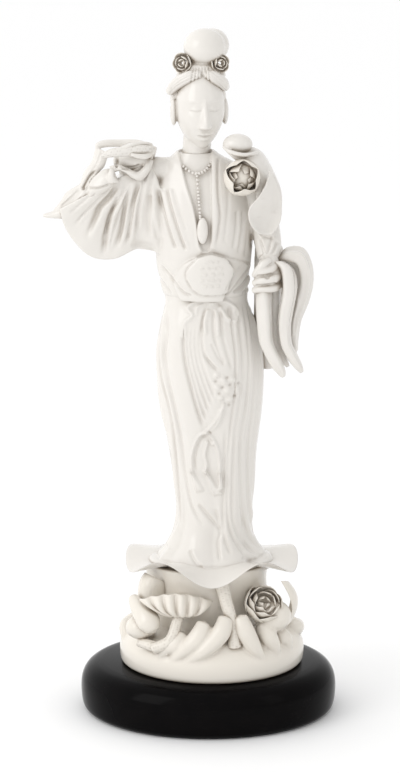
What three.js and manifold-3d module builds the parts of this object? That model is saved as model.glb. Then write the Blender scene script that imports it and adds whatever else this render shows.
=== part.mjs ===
// A white glazed porcelain figure of a robed lady, standing on a lotus leaf above a ring of waves,
// with its oval stand of black lacquered wood.
// Millimetres, +Z up, the figure looks along -Y. The origin is the middle of the stand's underside.
import * as THREE from 'three';
import { mergeVertices } from 'three/addons/utils/BufferGeometryUtils.js';
import Module from 'manifold-3d';

const wasm = await Module();
wasm.setup();

// Driving dimensions
const STAND_WIDTH = 188;
const STAND_DEPTH = 168;
const STAND_HEIGHT = 36.5;
const FOOT_GAP = 0.3;
const FIGURE_X = 2.5;
const BASE_RADIUS = 67;
const BASE_TOP = 64;
const COLUMN_RADIUS = 44;
const LEAF_Z = 114;
const LEAF_RADIUS = 64;
const LEAF_WAVES = 5;
const HEAD_CENTRE = [-6.2, -3, 444];
const HEAD_TURN = 0.21;
const BUN_CENTRE = [-3, -3, 486.8];
const LIGHT = { sides: 4, steps: 3 };

// Helpers

// A smooth value through evenly spaced ones, with t from 0 to 1.
function along(values, t) {
  const last = values.length - 1;
  const place = Math.min(Math.max(t, 0), 1) * last;
  const i = Math.min(Math.floor(place), last - 1);
  const f = place - i;
  const [a, b, c, d] = [values[Math.max(i - 1, 0)], values[i], values[i + 1], values[Math.min(i + 2, last)]];
  return 0.5 * (2 * b + (c - a) * f + (2 * a - 5 * b + 4 * c - d) * f * f + (3 * b - a - 3 * c + d) * f ** 3);
}

// A smooth point through evenly spaced ones.
function pointAlong(points, t) {
  const axis = (k) => along(points.map((p) => p[k]), t);
  return new THREE.Vector3(axis(0), axis(1), axis(2));
}

// Moves each corner of a geometry, welded so that it is one closed skin.
function reshape(geometry, move) {
  geometry.deleteAttribute('normal');
  geometry.deleteAttribute('uv');
  const skin = mergeVertices(geometry, 1e-4);
  const corners = skin.attributes.position;
  for (let i = 0; i < corners.count; i++) {
    const p = move(corners.getX(i), corners.getY(i), corners.getZ(i));
    corners.setXYZ(i, p.x, p.y, p.z);
  }
  return skin;
}

// The closed skin as a solid; one that its move turned inside out is turned back.
function solid(skin) {
  const made = (corners) => new wasm.Manifold(new wasm.Mesh({
    numProp: 3,
    vertProperties: new Float32Array(skin.attributes.position.array),
    triVerts: new Uint32Array(corners),
  }));
  const whole = made(skin.index.array);
  return whole.volume() > 0 ? whole : made(skin.index.array.slice().reverse());
}

const joined = (solids) => solids.reduce((whole, next) => whole.add(next));

// A ball, stretched to its three radii.
function ball(centre, radii, sides = 12, rings = 8) {
  return solid(reshape(new THREE.SphereGeometry(1, sides, rings), (x, y, z) =>
    new THREE.Vector3(x * radii[0], y * radii[1], z * radii[2]).add(new THREE.Vector3(...centre))));
}

// An upright form through level sections: each is {z, x, y, wide, deep}, half sizes about its middle.
// relief(angle, z) stands the skin out, in millimetres.
function lofted(sections, sides, layers, relief = () => 0) {
  const drum = new THREE.CylinderGeometry(1, 1, 1, sides, layers).rotateX(Math.PI / 2);
  return solid(reshape(drum, (x, y, z) => {
    const t = z + 0.5;
    const at = (key) => along(sections.map((s) => s[key] ?? 0), t);
    const angle = Math.atan2(y, x);
    const reach = Math.hypot(x, y) > 0.5 ? 1 : 0;
    const out = relief(angle, at('z')) * reach;
    return new THREE.Vector3(
      at('x') + reach * Math.cos(angle) * (at('wide') + out),
      at('y') + reach * Math.sin(angle) * (at('deep') + out),
      at('z'),
    );
  }));
}

// A round limb along a path; flat squeezes it from front to back.
function limb(path, radii, { sides = 8, steps = 6, flat = 1 } = {}) {
  const drum = new THREE.CylinderGeometry(1, 1, 1, sides, steps).rotateX(Math.PI / 2);
  return solid(reshape(drum, (x, y, z) => {
    const t = z + 0.5;
    const tangent = pointAlong(path, Math.min(t + 0.01, 1)).sub(pointAlong(path, Math.max(t - 0.01, 0))).normalize();
    const side = new THREE.Vector3(0, 1, 0).cross(tangent).normalize();
    const back = tangent.clone().cross(side);
    const r = along(radii, t);
    return pointAlong(path, t).addScaledVector(side, x * r).addScaledVector(back, y * r * flat);
  }));
}

// A thin curved sheet of clay through rows of [left edge, middle, right edge].
function sheet(rows, thickness, { across = 4, lengthwise = 8 } = {}) {
  const lines = [0, 1, 2].map((k) => rows.map((row) => row[k]));
  const surface = (u, t) => pointAlong(lines[0], t).multiplyScalar((u * (u - 1)) / 2)
    .addScaledVector(pointAlong(lines[1], t), 1 - u * u)
    .addScaledVector(pointAlong(lines[2], t), (u * (u + 1)) / 2);
  const slab = new THREE.BoxGeometry(2, 1, 1, across, lengthwise, 1);
  const e = 0.02;
  return solid(reshape(slab, (u, v, w) => {
    const t = v + 0.5;
    const overU = surface(u + e, t).sub(surface(u - e, t));
    const overT = surface(u, Math.min(t + e, 1)).sub(surface(u, Math.max(t - e, 0)));
    const normal = overU.cross(overT).normalize();
    return surface(u, t).addScaledVector(normal, w * thickness);
  }));
}

// A bloom that opens along its axis: a cup for each ring of petals, {radius, count, open}, the inner
// one nearly closed. A cup is thick at its root and thin at its scalloped rim.
function bloom(centre, axis, rings, { thickness = 2, steps = 2, layers = 4 } = {}) {
  const facing = new THREE.Quaternion()
    .setFromUnitVectors(new THREE.Vector3(0, 0, 1), new THREE.Vector3(...axis).normalize());
  const cup = (ring, k) => reshape(new THREE.SphereGeometry(1, ring.count * steps, layers), (x, y, z) => {
    const polar = Math.acos(Math.min(Math.max(y, -1), 1));
    const t = 1 - Math.abs(1 - polar / (Math.PI / 2));
    const angle = Math.atan2(z, x);
    const lobe = 1 - Math.abs(Math.sin((ring.count * angle) / 2)) ** 1.5;
    const inside = polar < Math.PI / 2 - 0.01;
    const r = inside ? ring.radius * 0.2 * (1 - t) + (ring.radius - thickness) * t : ring.radius;
    const bend = Math.PI * ring.open * t * (0.74 + 0.26 * lobe);
    const across = r * Math.sin(bend) * (0.92 + 0.08 * lobe);
    return new THREE.Vector3(across * Math.cos(angle + 0.5 * k), across * Math.sin(angle + 0.5 * k), -r * Math.cos(bend))
      .applyQuaternion(facing).add(new THREE.Vector3(...centre));
  });
  return joined(rings.map((ring, k) => solid(cup(ring, k))));
}

// The stand

function lacquerStand() {
  const [wide, deep] = [STAND_WIDTH / 2, STAND_DEPTH / 2];
  const profile = [[0, -6], [4, -1.6], [14, 0], [24, -0.6], [31, -4], [35, -9.5], [STAND_HEIGHT, -16]];
  return lofted(profile.map(([z, inset]) => ({ z, wide: wide + inset, deep: deep + inset })), 32, 5);
}

// The base: a drum of water, its standing waves, the rock column and the lotus plants

function waterDrum() {
  const foot = STAND_HEIGHT + FOOT_GAP;
  const sections = [[foot, -1.5], [foot + 3, 0.4], [50, 0.6], [58, -3.5], [BASE_TOP, -9], [BASE_TOP + 4, -18]];
  return lofted(sections.map(([z, out]) => ({ z, x: FIGURE_X, wide: BASE_RADIUS + out, deep: BASE_RADIUS + out })), 24, 4);
}

// A wave stands on the drum from angle `from` to its curled head at angle `to`, in degrees, -90 in front.
function wave(from, to, height) {
  const at = (degrees, radius, z) => {
    const a = THREE.MathUtils.degToRad(degrees);
    return [FIGURE_X + radius * Math.cos(a), radius * Math.sin(a), z];
  };
  const part = (f) => from + (to - from) * f;
  const path = [
    at(from, BASE_RADIUS - 3, 50), at(part(0.45), BASE_RADIUS - 4, 60),
    at(part(0.85), BASE_RADIUS - 6.5, 50 + (height - 50) * 0.7), at(to, BASE_RADIUS - 11, height),
  ];
  return limb(path, [2.5, 5.5, 7, 5.5], LIGHT);
}

function waves() {
  const front = [[-128, -112, 70], [-119, -96, 79], [-110, -80, 83], [-54, -69, 83], [-42, -50, 75], [-30, -34, 68]];
  const around = [];
  for (let a = 0; a < 200; a += 45) around.push([a + 12, a - 10, 68 + 4 * Math.sin(a)]);
  return [...front, ...around].map(([from, to, height]) => wave(from, to, height));
}

function rockColumn() {
  const section = (z, r) => ({ z, x: -0.3, wide: r, deep: r });
  return lofted([section(56, 46), section(75, 43), section(95, COLUMN_RADIUS), section(LEAF_Z - 1, 45)], 14, 2,
    (angle, z) => 1.2 * Math.sin(5 * angle + z / 9));
}

function stems() {
  const middle = limb([[9, -47, 108], [12, -50, 96], [17, -54, 78], [19, -57, 62]], [5, 4.6, 4.6, 5], LIGHT);
  const left = limb([[-20, -50, 90], [-23, -52, 78], [-28, -56, 66], [-40, -54, 60]], [4, 4, 4.4, 4.2], LIGHT);
  const lying = limb([[-50, -44, 62], [-40, -51, 61], [-28, -56, 58]], [3.6, 4, 3.6], LIGHT);
  return [middle, left, lying];
}

// A drooping leaf seen from its side, a funnel with a ruffled rim.
function funnelLeaf() {
  const rim = [];
  for (let i = 0; i < 7; i++) {
    const f = i / 6;
    const x = -50 + 53 * f;
    const y = -44 - 10 * Math.sin(Math.PI * f) - 4 * f;
    const ruffle = i % 2 ? 1.6 : -1.2;
    rim.push([[x, y + ruffle, 94 + 9 * Math.sin(Math.PI * f * 0.9) - 3 * f], [x * 0.8 - 4, y - 5 + ruffle, 90 - 2 * f],
      [-28 + 18 * f, -52, 84]]);
  }
  const bowl = ball([-22, -47, 89], [19, 9, 8], 8, 5);
  return [sheet(rim, 2.2, { across: 2, lengthwise: 8 }), bowl];
}

// A young leaf, still rolled, and the furled one beside it.
function rolledLeaf() {
  const roll = limb([[-55, -32, 92], [-50, -40, 86], [-43, -48, 78], [-40, -50, 72]], [3.5, 6.5, 8.5, 5], LIGHT);
  const back = ball([-49, -40, 72], [11, 10, 9], 7, 5);
  const flap = sheet([[[-52, -24, 86], [-46, -34, 88], [-31, -28, 90]], [[-50, -22, 101], [-43, -32, 102], [-30, -28, 98]],
    [[-46, -22, 108], [-40, -30, 107], [-30, -28, 102]]], 2, { across: 2, lengthwise: 3 });
  return [roll, back, flap];
}

function waterLily() {
  const rings = [{ radius: 8, count: 4, open: 0.92 }, { radius: 14, count: 5, open: 0.7 }];
  const flower = bloom([40, -44, 91], [0.25, -0.75, 0.6], rings);
  const leaf = sheet([[[52, -38, 106], [57, -32, 104], [55, -20, 100]], [[58, -38, 95], [63, -28, 94], [58, -15, 92]],
    [[60, -36, 84], [64, -25, 84], [60, -12, 84]], [[56, -34, 72], [60, -24, 72], [57, -12, 72]]], 2.2, { across: 3, lengthwise: 4 });
  const neck = ball([46, -38, 80], [14, 12, 12], 7, 5);
  return [flower, leaf, neck];
}

// The lotus leaf that she stands on: a wavy disc, thin at its rim, with its deepest waves in front.
function lotusLeaf() {
  const pressed = new THREE.SphereGeometry(1, 8 * LEAF_WAVES, 4);
  return solid(reshape(pressed, (x, y, z) => {
    const polar = Math.acos(Math.min(Math.max(y, -1), 1));
    const out = 1 - Math.abs(1 - polar / (Math.PI / 2));
    const angle = Math.atan2(-x, -z);
    const front = -Math.sin(angle);
    const swell = -Math.cos(LEAF_WAVES * (angle + Math.PI / 2));
    const lift = ((5.6 + 3.1 * front) * swell + 1.6 * front) * out ** 3;
    const half = out > 0.99 ? 0 : 1.3 + 2.4 * (1 - out);
    return new THREE.Vector3(
      FIGURE_X + out * LEAF_RADIUS * Math.cos(angle), out * LEAF_RADIUS * Math.sin(angle),
      LEAF_Z + lift + (y > 0 ? half : -half),
    );
  }));
}

// The figure

// Folds of the robe: broad pleats down the skirt that splay at the hem, and softer ones on the chest.
function robeFolds(angle, z) {
  const below = (from, to) => 1 - THREE.MathUtils.smoothstep(z, from, to);
  const chest = below(380, 400) - below(312, 340);
  const depth = 1.3 * (below(285, 305) - below(130, 165)) + 2 * below(118, 150) + 0.7 * chest;
  return depth * Math.sin(7 * angle + z / 90);
}

function robe() {
  const sections = [
    { z: 108, x: 2, wide: 44, deep: 37 }, { z: 114, x: 2, wide: 45, deep: 38 },
    { z: 119, x: 2.2, wide: 39, deep: 33 }, { z: 127, x: 2.4, wide: 32, deep: 28 },
    { z: 137, x: 3.2, wide: 28.8, deep: 25 }, { z: 150, x: 4.3, wide: 28, deep: 24 },
    { z: 172, x: 3.9, wide: 29.5, deep: 24.5 }, { z: 196, x: 3, wide: 32, deep: 26 },
    { z: 221, x: 2.2, wide: 36.2, deep: 27.5 }, { z: 246, x: 1.5, wide: 38.8, deep: 28.5 },
    { z: 269, x: 1, wide: 38.4, deep: 28 }, { z: 289, x: 0, wide: 34.4, deep: 26 },
    { z: 304, x: -1.3, wide: 29.8, deep: 23.5 }, { z: 318, x: -2.8, wide: 32, deep: 24 },
    { z: 334, x: -3.6, wide: 34, deep: 25 }, { z: 352, x: -3, wide: 35, deep: 25.5 },
    { z: 370, x: -2.5, wide: 36, deep: 25 }, { z: 385, x: -3, wide: 35.5, deep: 22.5 },
    { z: 396, x: -4, wide: 32, deep: 19 }, { z: 404, x: -6.5, wide: 26.5, deep: 15.5 },
    { z: 410, x: -8.6, wide: 17.5, deep: 13 }, { z: 414, x: -9, wide: 12.6, deep: 12 },
  ];
  return lofted(sections, 28, 15, robeFolds);
}

// The two edges of the robe that cross below the necklace, as raised bands.
function lapels() {
  const band = (rows) => sheet(rows, 5, { across: 2, lengthwise: 4 });
  const right = band([
    [[-21, -5, 413], [-18.5, -8.5, 412], [-16, -10, 411]], [[-24, -15, 397], [-20, -17.5, 397], [-17, -18, 398]],
    [[-22, -21, 372], [-18, -23.5, 372], [-14.5, -23.5, 373]], [[-16, -23, 346], [-12, -24.5, 346], [-8, -24.5, 348]],
  ]);
  const left = band([
    [[0, -10, 413], [2.5, -8.5, 414], [5, -5, 414]], [[1, -18, 397], [4, -17.5, 397], [7.5, -15.5, 397]],
    [[2.5, -23.5, 372], [5.5, -23.5, 372], [9, -22.5, 372]], [[0, -24.5, 346], [3.5, -24.5, 346], [7, -24, 346]],
  ]);
  return [right, left];
}

function sash() {
  const panel = sheet([
    [[-22, -19.5, 327], [-6, -28.5, 341], [12, -25, 338]], [[-25, -19, 318], [-6, -29, 325], [17, -23.5, 328]],
    [[-19, -20, 306], [-4, -27, 306], [10, -24, 307]],
  ], 3.4, { across: 4, lengthwise: 2 });
  const knot = ball([-2, -25.5, 302], [5, 4, 4.2], 6, 4);
  const bow = [-1, 1].map((s) => limb([[-2 + 3 * s, -25, 303], [-2 + 12 * s, -24, 299], [-2 + 15 * s, -24, 290],
    [-2 + 10 * s, -26, 291]], [2.4, 2.8, 3, 1.6], LIGHT));
  return [panel, knot, ...bow];
}

// Cords and tassels that hang from a knot on the front of the skirt.
function tassels() {
  const knot = ball([11, -27.5, 246], [8, 3.4, 9], 6, 4);
  const cords = [
    [[12, -27, 240], [8, -27, 226], [0, -27.5, 212], [-7, -26, 200], [-9, -25, 184]],
    [[4, -27, 220], [6, -26, 204], [9, -25, 190], [6, -25, 172]],
  ].map((path) => limb(path, [2, 1.8, 1.8, 2, 1.6], { sides: 4, steps: 4 }));
  const brushes = [[-6, -24.5, 172], [4, -25, 166]].map((centre) => ball(centre, [4, 2.4, 8], 5, 4));
  return [knot, ...cords, ...brushes];
}

// A loop of beads, the strand that hangs from it, and a drop-shaped pendant.
function necklace() {
  const beaded = (path, count) => limb(path, Array.from({ length: 2 * count + 1 }, (_, i) => (i % 2 ? 2.1 : 1.2)),
    { sides: 4, steps: 2 * count });
  const loop = beaded([[-21.5, -7, 407], [-17, -14.5, 402.5], [-9, -19.4, 398.8], [-2, -17, 401.5], [2.5, -10.5, 407]], 6);
  const strand = beaded([[-8.4, -19.2, 399], [-7.6, -22.3, 388], [-6.8, -24.4, 378], [-6, -25.4, 368]], 4);
  const pendant = ball([-4.4, -25.4, 359], [4, 2.6, 9.5], 6, 4);
  return [loop, strand, pendant];
}

// The head, modelled about its own middle and then turned a little to her left.
function head() {
  const skull = reshape(new THREE.SphereGeometry(1, 12, 9).rotateX(Math.PI / 2), (x, y, z) => {
    const low = Math.max(-z, 0);
    const jaw = 1 - 0.3 * low ** 2.2;
    const chin = y < 0 ? 1 + 0.05 * low : 1 - 0.25 * low;
    return new THREE.Vector3(x * 17.4 * jaw, y * 19.5 * chin, z * 29.5);
  });
  const nose = reshape(new THREE.SphereGeometry(1, 6, 4), (x, y, z) =>
    new THREE.Vector3(x * (2.1 - 0.9 * z), y * 3.6 - 17.6 - 1.8 * -z, z * 7.5 - 5.5));
  const lips = reshape(new THREE.SphereGeometry(1, 6, 4), (x, y, z) =>
    new THREE.Vector3(x * 4.2, y * 2 - 16.4, z * 2.1 - 17.2));
  const placed = (skin) => solid(skin.rotateZ(HEAD_TURN).translate(...HEAD_CENTRE));
  const ears = [-1, 1].map((s) => placed(reshape(new THREE.SphereGeometry(1, 6, 4), (x, y, z) =>
    new THREE.Vector3(x * 2.6 + s * 18.6, y * 4.4 + 2, z * 9.5 - 3))));
  return [placed(skull), placed(nose), placed(lips), ...ears];
}

function neck() {
  return lofted([{ z: 396, x: -9.5, wide: 11, deep: 11 }, { z: 410, x: -9, wide: 10, deep: 10.4 },
    { z: 426, x: -7.5, wide: 10.5, deep: 11.5 }], 10, 2);
}

function hair() {
  const back = ball([-7.5, 6, 450], [20, 17.5, 24], 10, 7);
  const crown = ball([-5.5, 0, 467], [17.5, 15.5, 12], 8, 5);
  const sweeps = [
    [[-6, -14.5, 469], [-15, -13, 466], [-23, -8, 461], [-28, -1, 455]],
    [[-2, -14.5, 469], [4, -13, 466], [9.5, -8, 462], [12, 0, 458]],
  ].map((path) => limb(path, [3.4, 4.6, 4.4, 3], { sides: 6, steps: 3 }));
  const bun = ball(BUN_CENTRE, [15, 14, 13.2], 10, 7);
  const fold = ball([2.5, 5, 487.5], [12, 12, 12], 7, 5);
  return [back, crown, ...sweeps, bun, fold];
}

function hairFlowers() {
  const rings = [{ radius: 6.6, count: 5, open: 0.72 }];
  const rose = (x) => bloom([x, -10, 476], [Math.sign(x) * 0.45, -0.85, 0.1], rings, { thickness: 1.8 });
  return [rose(-19), rose(8.5)];
}

// Her raised right arm: a wide sleeve that hangs from it as a fan of pleats.
function raisedSleeve() {
  const pivot = [-42, -1, 407];
  const reach = [73, 77, 79.5, 80.5, 75, 65, 65.5, 70, 78];
  const [first, last] = [28, 112];
  const pressed = new THREE.BoxGeometry(1, 1, 1, 22, 3, 1);
  return solid(reshape(pressed, (x, y, z) => {
    const f = x + 0.5;
    const t = 0.5 - y;
    const angle = THREE.MathUtils.degToRad(first + (last - first) * f);
    const r = 3 + (along(reach, f) - 3) * t;
    const pleat = 2.2 * Math.sin(7 * 2 * Math.PI * f) * t * (1.2 - t);
    const half = 11 * Math.sqrt(1 - 0.75 * t * t) + 2.5 * t;
    return new THREE.Vector3(
      pivot[0] - r * Math.cos(angle), pivot[1] + 2 * z * half - pleat - 5 * t * (1 - f), pivot[2] - r * Math.sin(angle),
    );
  }));
}

// The turned-back mouth of that sleeve: leaf-like folds and the long drawn-out corner.
function sleeveMouth() {
  const corner = sheet([
    [[-80, 6, 418], [-75, 3, 416], [-68, 2, 413]], [[-86, 3, 405], [-79, -5, 405], [-71, -7, 401]],
    [[-91, 1, 394], [-85, -8, 396], [-79, -10, 397]], [[-99.5, -2, 385], [-95, -9, 384], [-90, -7, 385]],
    [[-108, -5, 374], [-103, -11, 374], [-97, -7, 373]], [[-118, -8, 368.6], [-117, -9.5, 367.5], [-115, -8, 366.2]],
  ], 3, { across: 2, lengthwise: 6 });
  const lip = sheet([
    [[-93, -4, 379], [-90, -14, 380], [-84, -8, 373]], [[-86, -8, 395], [-81, -16, 392], [-75, -10, 385]],
    [[-75, -9, 401], [-71, -18, 395], [-66, -11, 387]], [[-67, -11, 401.5], [-62, -19, 395], [-57, -12, 390]],
    [[-52, -8, 402], [-50, -15, 399], [-48, -10, 394]],
  ], 3, { across: 2, lengthwise: 5 });
  const rim = limb([[-80, 6, 416], [-66, 8, 416.5], [-52, 6, 413], [-40, 2, 406]], [2.4, 2.6, 3.4, 6], LIGHT);
  const arm = limb([[-20, 0, 397], [-33, 0, 399], [-48, -1, 400], [-66, -2, 398]], [12, 9.5, 9.5, 8], { sides: 6, steps: 3 });
  const fill = ball([-60, -2, 404], [17, 9, 10], 7, 5);
  return [corner, lip, rim, arm, fill];
}

// Her right hand, laid over a short lotus stem.
function raisedHand() {
  const stem = limb([[-74, -19, 412], [-68, -19.5, 414.5], [-58, -19.5, 416], [-44, -17, 415.5]], [3, 3.8, 3.8, 3.4], LIGHT);
  const palm = ball([-44, -11, 414.5], [6, 8, 5.2], 6, 5);
  const wrist = limb([[-46, -9, 413], [-50, -5, 408], [-54, -2, 402]], [5.5, 6, 7], { sides: 6, steps: 2 });
  const fingers = [0, 1, 2].map((k) => limb(
    [[-42 - 2 * k, -10, 418.2], [-47 - 2.5 * k, -13 - k, 420.4], [-54 - 3 * k, -17 - k, 419.6]],
    [1.9, 1.9, 1.5], { sides: 4, steps: 2 }));
  return [stem, palm, wrist, ...fingers];
}

// Her left arm, lowered and bent forward, with the empty end of its sleeve hanging behind the hand.
function loweredArm() {
  const sleeve = limb([[24, -1, 395], [34, -2, 378], [40, -5, 360], [43, -10, 345], [43, -15, 334]],
    [12, 12.5, 10.5, 9, 8], { sides: 8, steps: 4 });
  const hanging = sheet([
    [[34, 3, 344], [44, -2, 346], [52, 4, 344]], [[34, 6, 315], [45, 2, 315], [56, 6, 315]],
    [[34, 6, 285], [44, 3, 285], [54, 6, 285]], [[35, 6, 253], [42, 4, 252], [49, 7, 253]],
  ], 5, { across: 2, lengthwise: 4 });
  return [sleeve, hanging];
}

function loweredHand() {
  const fist = ball([44, -21, 323], [10, 8.5, 11], 7, 5);
  const fingers = [0, 1, 2, 3].map((k) => limb(
    [[48, -26, 329 - 4.4 * k], [40, -28, 329.5 - 4.6 * k], [34 - 0.9 * k, -23, 329 - 4.6 * k]], [2.3, 2.8, 2.4], LIGHT));
  return [fist, ...fingers];
}

// The scarf gathered in that hand: four tapering ends.
function scarf() {
  const cloth = (rows, thickness = 3) => sheet(rows, thickness, { across: 2, lengthwise: 6 });
  const loop = cloth([
    [[43, -15, 336], [43, -17, 331], [46, -16, 326]], [[52, -8, 345], [54, -14, 337], [54, -16, 328]],
    [[66, -2, 341], [61, -12, 333], [56, -15, 324]], [[74, -2, 328], [68, -12, 322], [60, -14, 315]],
    [[74.5, -5, 312], [70, -13, 308], [63, -13, 303]], [[70, -9, 297], [67, -14, 296], [61, -14, 294]],
    [[66, -11, 284], [63, -15, 284], [59, -14, 285]], [[65, -13, 271], [62.5, -15.5, 270], [60, -14.5, 271]],
  ], 4);
  const over = cloth([
    [[44, -21, 336], [48, -26, 333], [53, -20, 334]], [[50, -22, 325], [56, -28, 324], [62, -21, 327]],
    [[52, -22, 308], [58, -28, 308], [64, -21, 309]], [[48, -22, 293], [54, -28, 294], [60, -21, 295]],
    [[48, -22, 279], [54, -27, 279], [60, -21, 280]], [[54, -22, 267], [59, -26, 268], [64, -21, 269]],
    [[66, -22, 256], [67, -23.5, 256.5], [68, -22, 257.5]],
  ]);
  const under = cloth([
    [[44, -16, 315], [48, -20, 315], [53, -16, 316]], [[43, -16, 297], [47, -20, 297], [52, -15, 297]],
    [[42, -16, 280], [47, -20, 280], [51, -15, 281]], [[50, -15, 263], [53, -17, 264], [56, -15, 266]],
  ]);
  const front = cloth([
    [[32, -22, 316], [38, -28, 316], [44, -22, 316]], [[32, -23, 301], [38, -29, 301], [45, -23, 301]],
    [[33, -23, 287], [40, -29, 287], [46, -23, 288]], [[37, -23, 275], [43, -28, 276], [49, -23, 278]],
    [[45, -23, 263], [49, -27, 265], [54, -23, 267]], [[52, -24, 253.5], [53.2, -25, 254], [54.5, -24, 255]],
  ]);
  return [loop, over, under, front];
}

// The lotus leaf laid over her left shoulder, cupped at the top and again at the bottom, and its bud.
function shoulderLotus() {
  const leaf = sheet([
    [[10.5, -15, 421], [12, -26, 418], [15, -30, 413]], [[16, -10, 426], [20, -22, 419], [19, -31, 411]],
    [[30, -12, 421], [31, -24, 417], [26, -31, 408]], [[40, -14, 413], [37, -28, 406], [30, -27, 399]],
    [[46, -16, 398], [41, -29, 394], [33, -26, 391]], [[51, -18, 386], [42, -26, 384], [33, -31, 382]],
    [[54, -24, 371], [42, -24, 370], [28, -36, 371]], [[52, -29, 361], [42, -26, 360], [31, -36, 361]],
    [[47, -32, 356.5], [40, -30, 355], [34, -35, 357]],
  ], 2.2, { across: 4, lengthwise: 8 });
  const rings = [{ radius: 8, count: 4, open: 0.92 }, { radius: 13.5, count: 6, open: 0.74 }];
  const bud = bloom([23.4, -28, 398], [-0.1, -0.98, 0.15], rings);
  const pad = ball([30, -20, 392], [13, 12, 14], 7, 5);
  return [leaf, bud, pad];
}

// The assembly

function mesh(name, whole, colour, roughness) {
  const made = whole.getMesh();
  const geometry = new THREE.BufferGeometry();
  geometry.setAttribute('position', new THREE.BufferAttribute(made.vertProperties, 3));
  geometry.setIndex(new THREE.BufferAttribute(made.triVerts, 1));
  geometry.computeVertexNormals();
  const piece = new THREE.Mesh(geometry, new THREE.MeshStandardMaterial({ color: colour, roughness, metalness: 0 }));
  piece.name = name;
  return piece;
}

const porcelain = joined([
  waterDrum(), ...waves(), rockColumn(), ...stems(), ...funnelLeaf(), ...rolledLeaf(), ...waterLily(), lotusLeaf(),
  robe(), ...lapels(), ...sash(), ...tassels(), ...necklace(), neck(), ...head(), ...hair(), ...hairFlowers(),
  raisedSleeve(), ...sleeveMouth(), ...raisedHand(), ...loweredArm(), ...loweredHand(), ...scarf(), ...shoulderLotus(),
]);

const figure = new THREE.Group();
figure.add(mesh('porcelain_figure', porcelain, 0xf3efea, 0.12));
figure.add(mesh('lacquer_stand', lacquerStand(), 0x0b0a0b, 0.18));

export default figure;
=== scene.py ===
# %% [markdown]
# # A white porcelain lady on a lotus leaf
# The object is a press-moulded and hand-built porcelain figure under a clear glaze, on an oval stand of
# black lacquered wood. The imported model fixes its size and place. This lesson makes the fine surface:
# folds, petals, beads and the glaze itself. All shapes are worked out in millimetres and turned into
# metres when a piece is finished.

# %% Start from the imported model
import math

import bmesh
import bpy
import numpy as np
from mathutils import Matrix, Vector


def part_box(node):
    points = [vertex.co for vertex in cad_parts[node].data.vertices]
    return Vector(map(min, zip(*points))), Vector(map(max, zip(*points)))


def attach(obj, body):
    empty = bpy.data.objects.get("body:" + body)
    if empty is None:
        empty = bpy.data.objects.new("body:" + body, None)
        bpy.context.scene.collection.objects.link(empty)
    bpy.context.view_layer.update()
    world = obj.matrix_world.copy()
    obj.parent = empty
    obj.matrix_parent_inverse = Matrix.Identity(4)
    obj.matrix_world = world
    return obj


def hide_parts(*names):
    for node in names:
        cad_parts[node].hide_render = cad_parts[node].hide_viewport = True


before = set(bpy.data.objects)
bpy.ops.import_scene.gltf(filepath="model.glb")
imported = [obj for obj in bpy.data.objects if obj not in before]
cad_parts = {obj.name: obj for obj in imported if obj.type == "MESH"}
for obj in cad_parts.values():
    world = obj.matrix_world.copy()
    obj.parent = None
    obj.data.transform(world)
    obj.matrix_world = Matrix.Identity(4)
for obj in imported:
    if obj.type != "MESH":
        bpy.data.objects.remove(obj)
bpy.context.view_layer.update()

MM = 0.001
stand_low, stand_high = (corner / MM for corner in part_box("lacquer_stand"))
figure_low, figure_high = (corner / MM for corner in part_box("porcelain_figure"))
print("figure from", figure_low, "to", figure_high)
print("stand from", stand_low, "to", stand_high)

# %% [markdown]
# ## Smooth values and closed skins
# A potter thinks in a few sections and lets the clay run smoothly between them. So a shape here is given
# by a few evenly spaced values, and `along` runs a smooth curve through them. Most forms start as a UV
# sphere, because it is closed from the start: a function then says where each of its points goes.


# %% Smooth values
def along(values, t):
    """A smooth value through evenly spaced ones, with t from 0 to 1. Values may be points."""
    last = len(values) - 1
    place = min(max(t, 0.0), 1.0) * last
    i = min(int(place), last - 1)
    f = place - i
    a, b = values[max(i - 1, 0)], values[i]
    c, d = values[i + 1], values[min(i + 2, last)]
    return 0.5 * (2 * b + (c - a) * f + (2 * a - 5 * b + 4 * c - d) * f**2 + (3 * b - a - 3 * c + d) * f**3)


def blend(low, high, value):
    """0 below low, 1 above high, and a soft step between them, for numbers and arrays."""
    f = np.clip((value - low) / (high - low), 0.0, 1.0)
    return f * f * (3 - 2 * f)


print("halfway through 0, 1, 4:", along([0, 1, 4], 0.5))


# %% Closed skins
def skin(bm, sides, rings, place):
    """A closed skin. place(angle, t) gives each point, from the bottom pole at t 0 to the top at t 1."""
    made = bmesh.ops.create_uvsphere(bm, u_segments=sides, v_segments=rings, radius=1.0)
    for v in made["verts"]:
        polar = math.acos(min(max(v.co.z, -1.0), 1.0))
        v.co = place(math.atan2(v.co.y, v.co.x), 1 - polar / math.pi)
    return made["verts"]


def ball(bm, centre, radii, sides=32, rings=20):
    """A ball, stretched to its three radii."""
    def place(angle, t):
        level = math.pi * (t - 0.5)
        unit = Vector((math.cos(angle) * math.cos(level), math.sin(angle) * math.cos(level), math.sin(level)))
        return Vector(centre) + unit * Vector(radii)
    return skin(bm, sides, rings, place)


def lofted(bm, sections, sides=96, rings=80, relief=None):
    """An upright form through level sections (z, x, y, wide, deep), with half sizes about its middle."""
    columns = list(zip(*sections))

    def place(angle, t):
        step = t * rings
        z, x, y, wide, deep = (along(column, (step - 1) / (rings - 2)) for column in columns)
        if step < 0.5 or step > rings - 0.5:
            return Vector((x, y, z))
        out = relief(angle, z) if relief else 0
        return Vector((x + math.cos(angle) * (wide + out), y + math.sin(angle) * (deep + out), z))
    return skin(bm, sides, rings, place)


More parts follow.
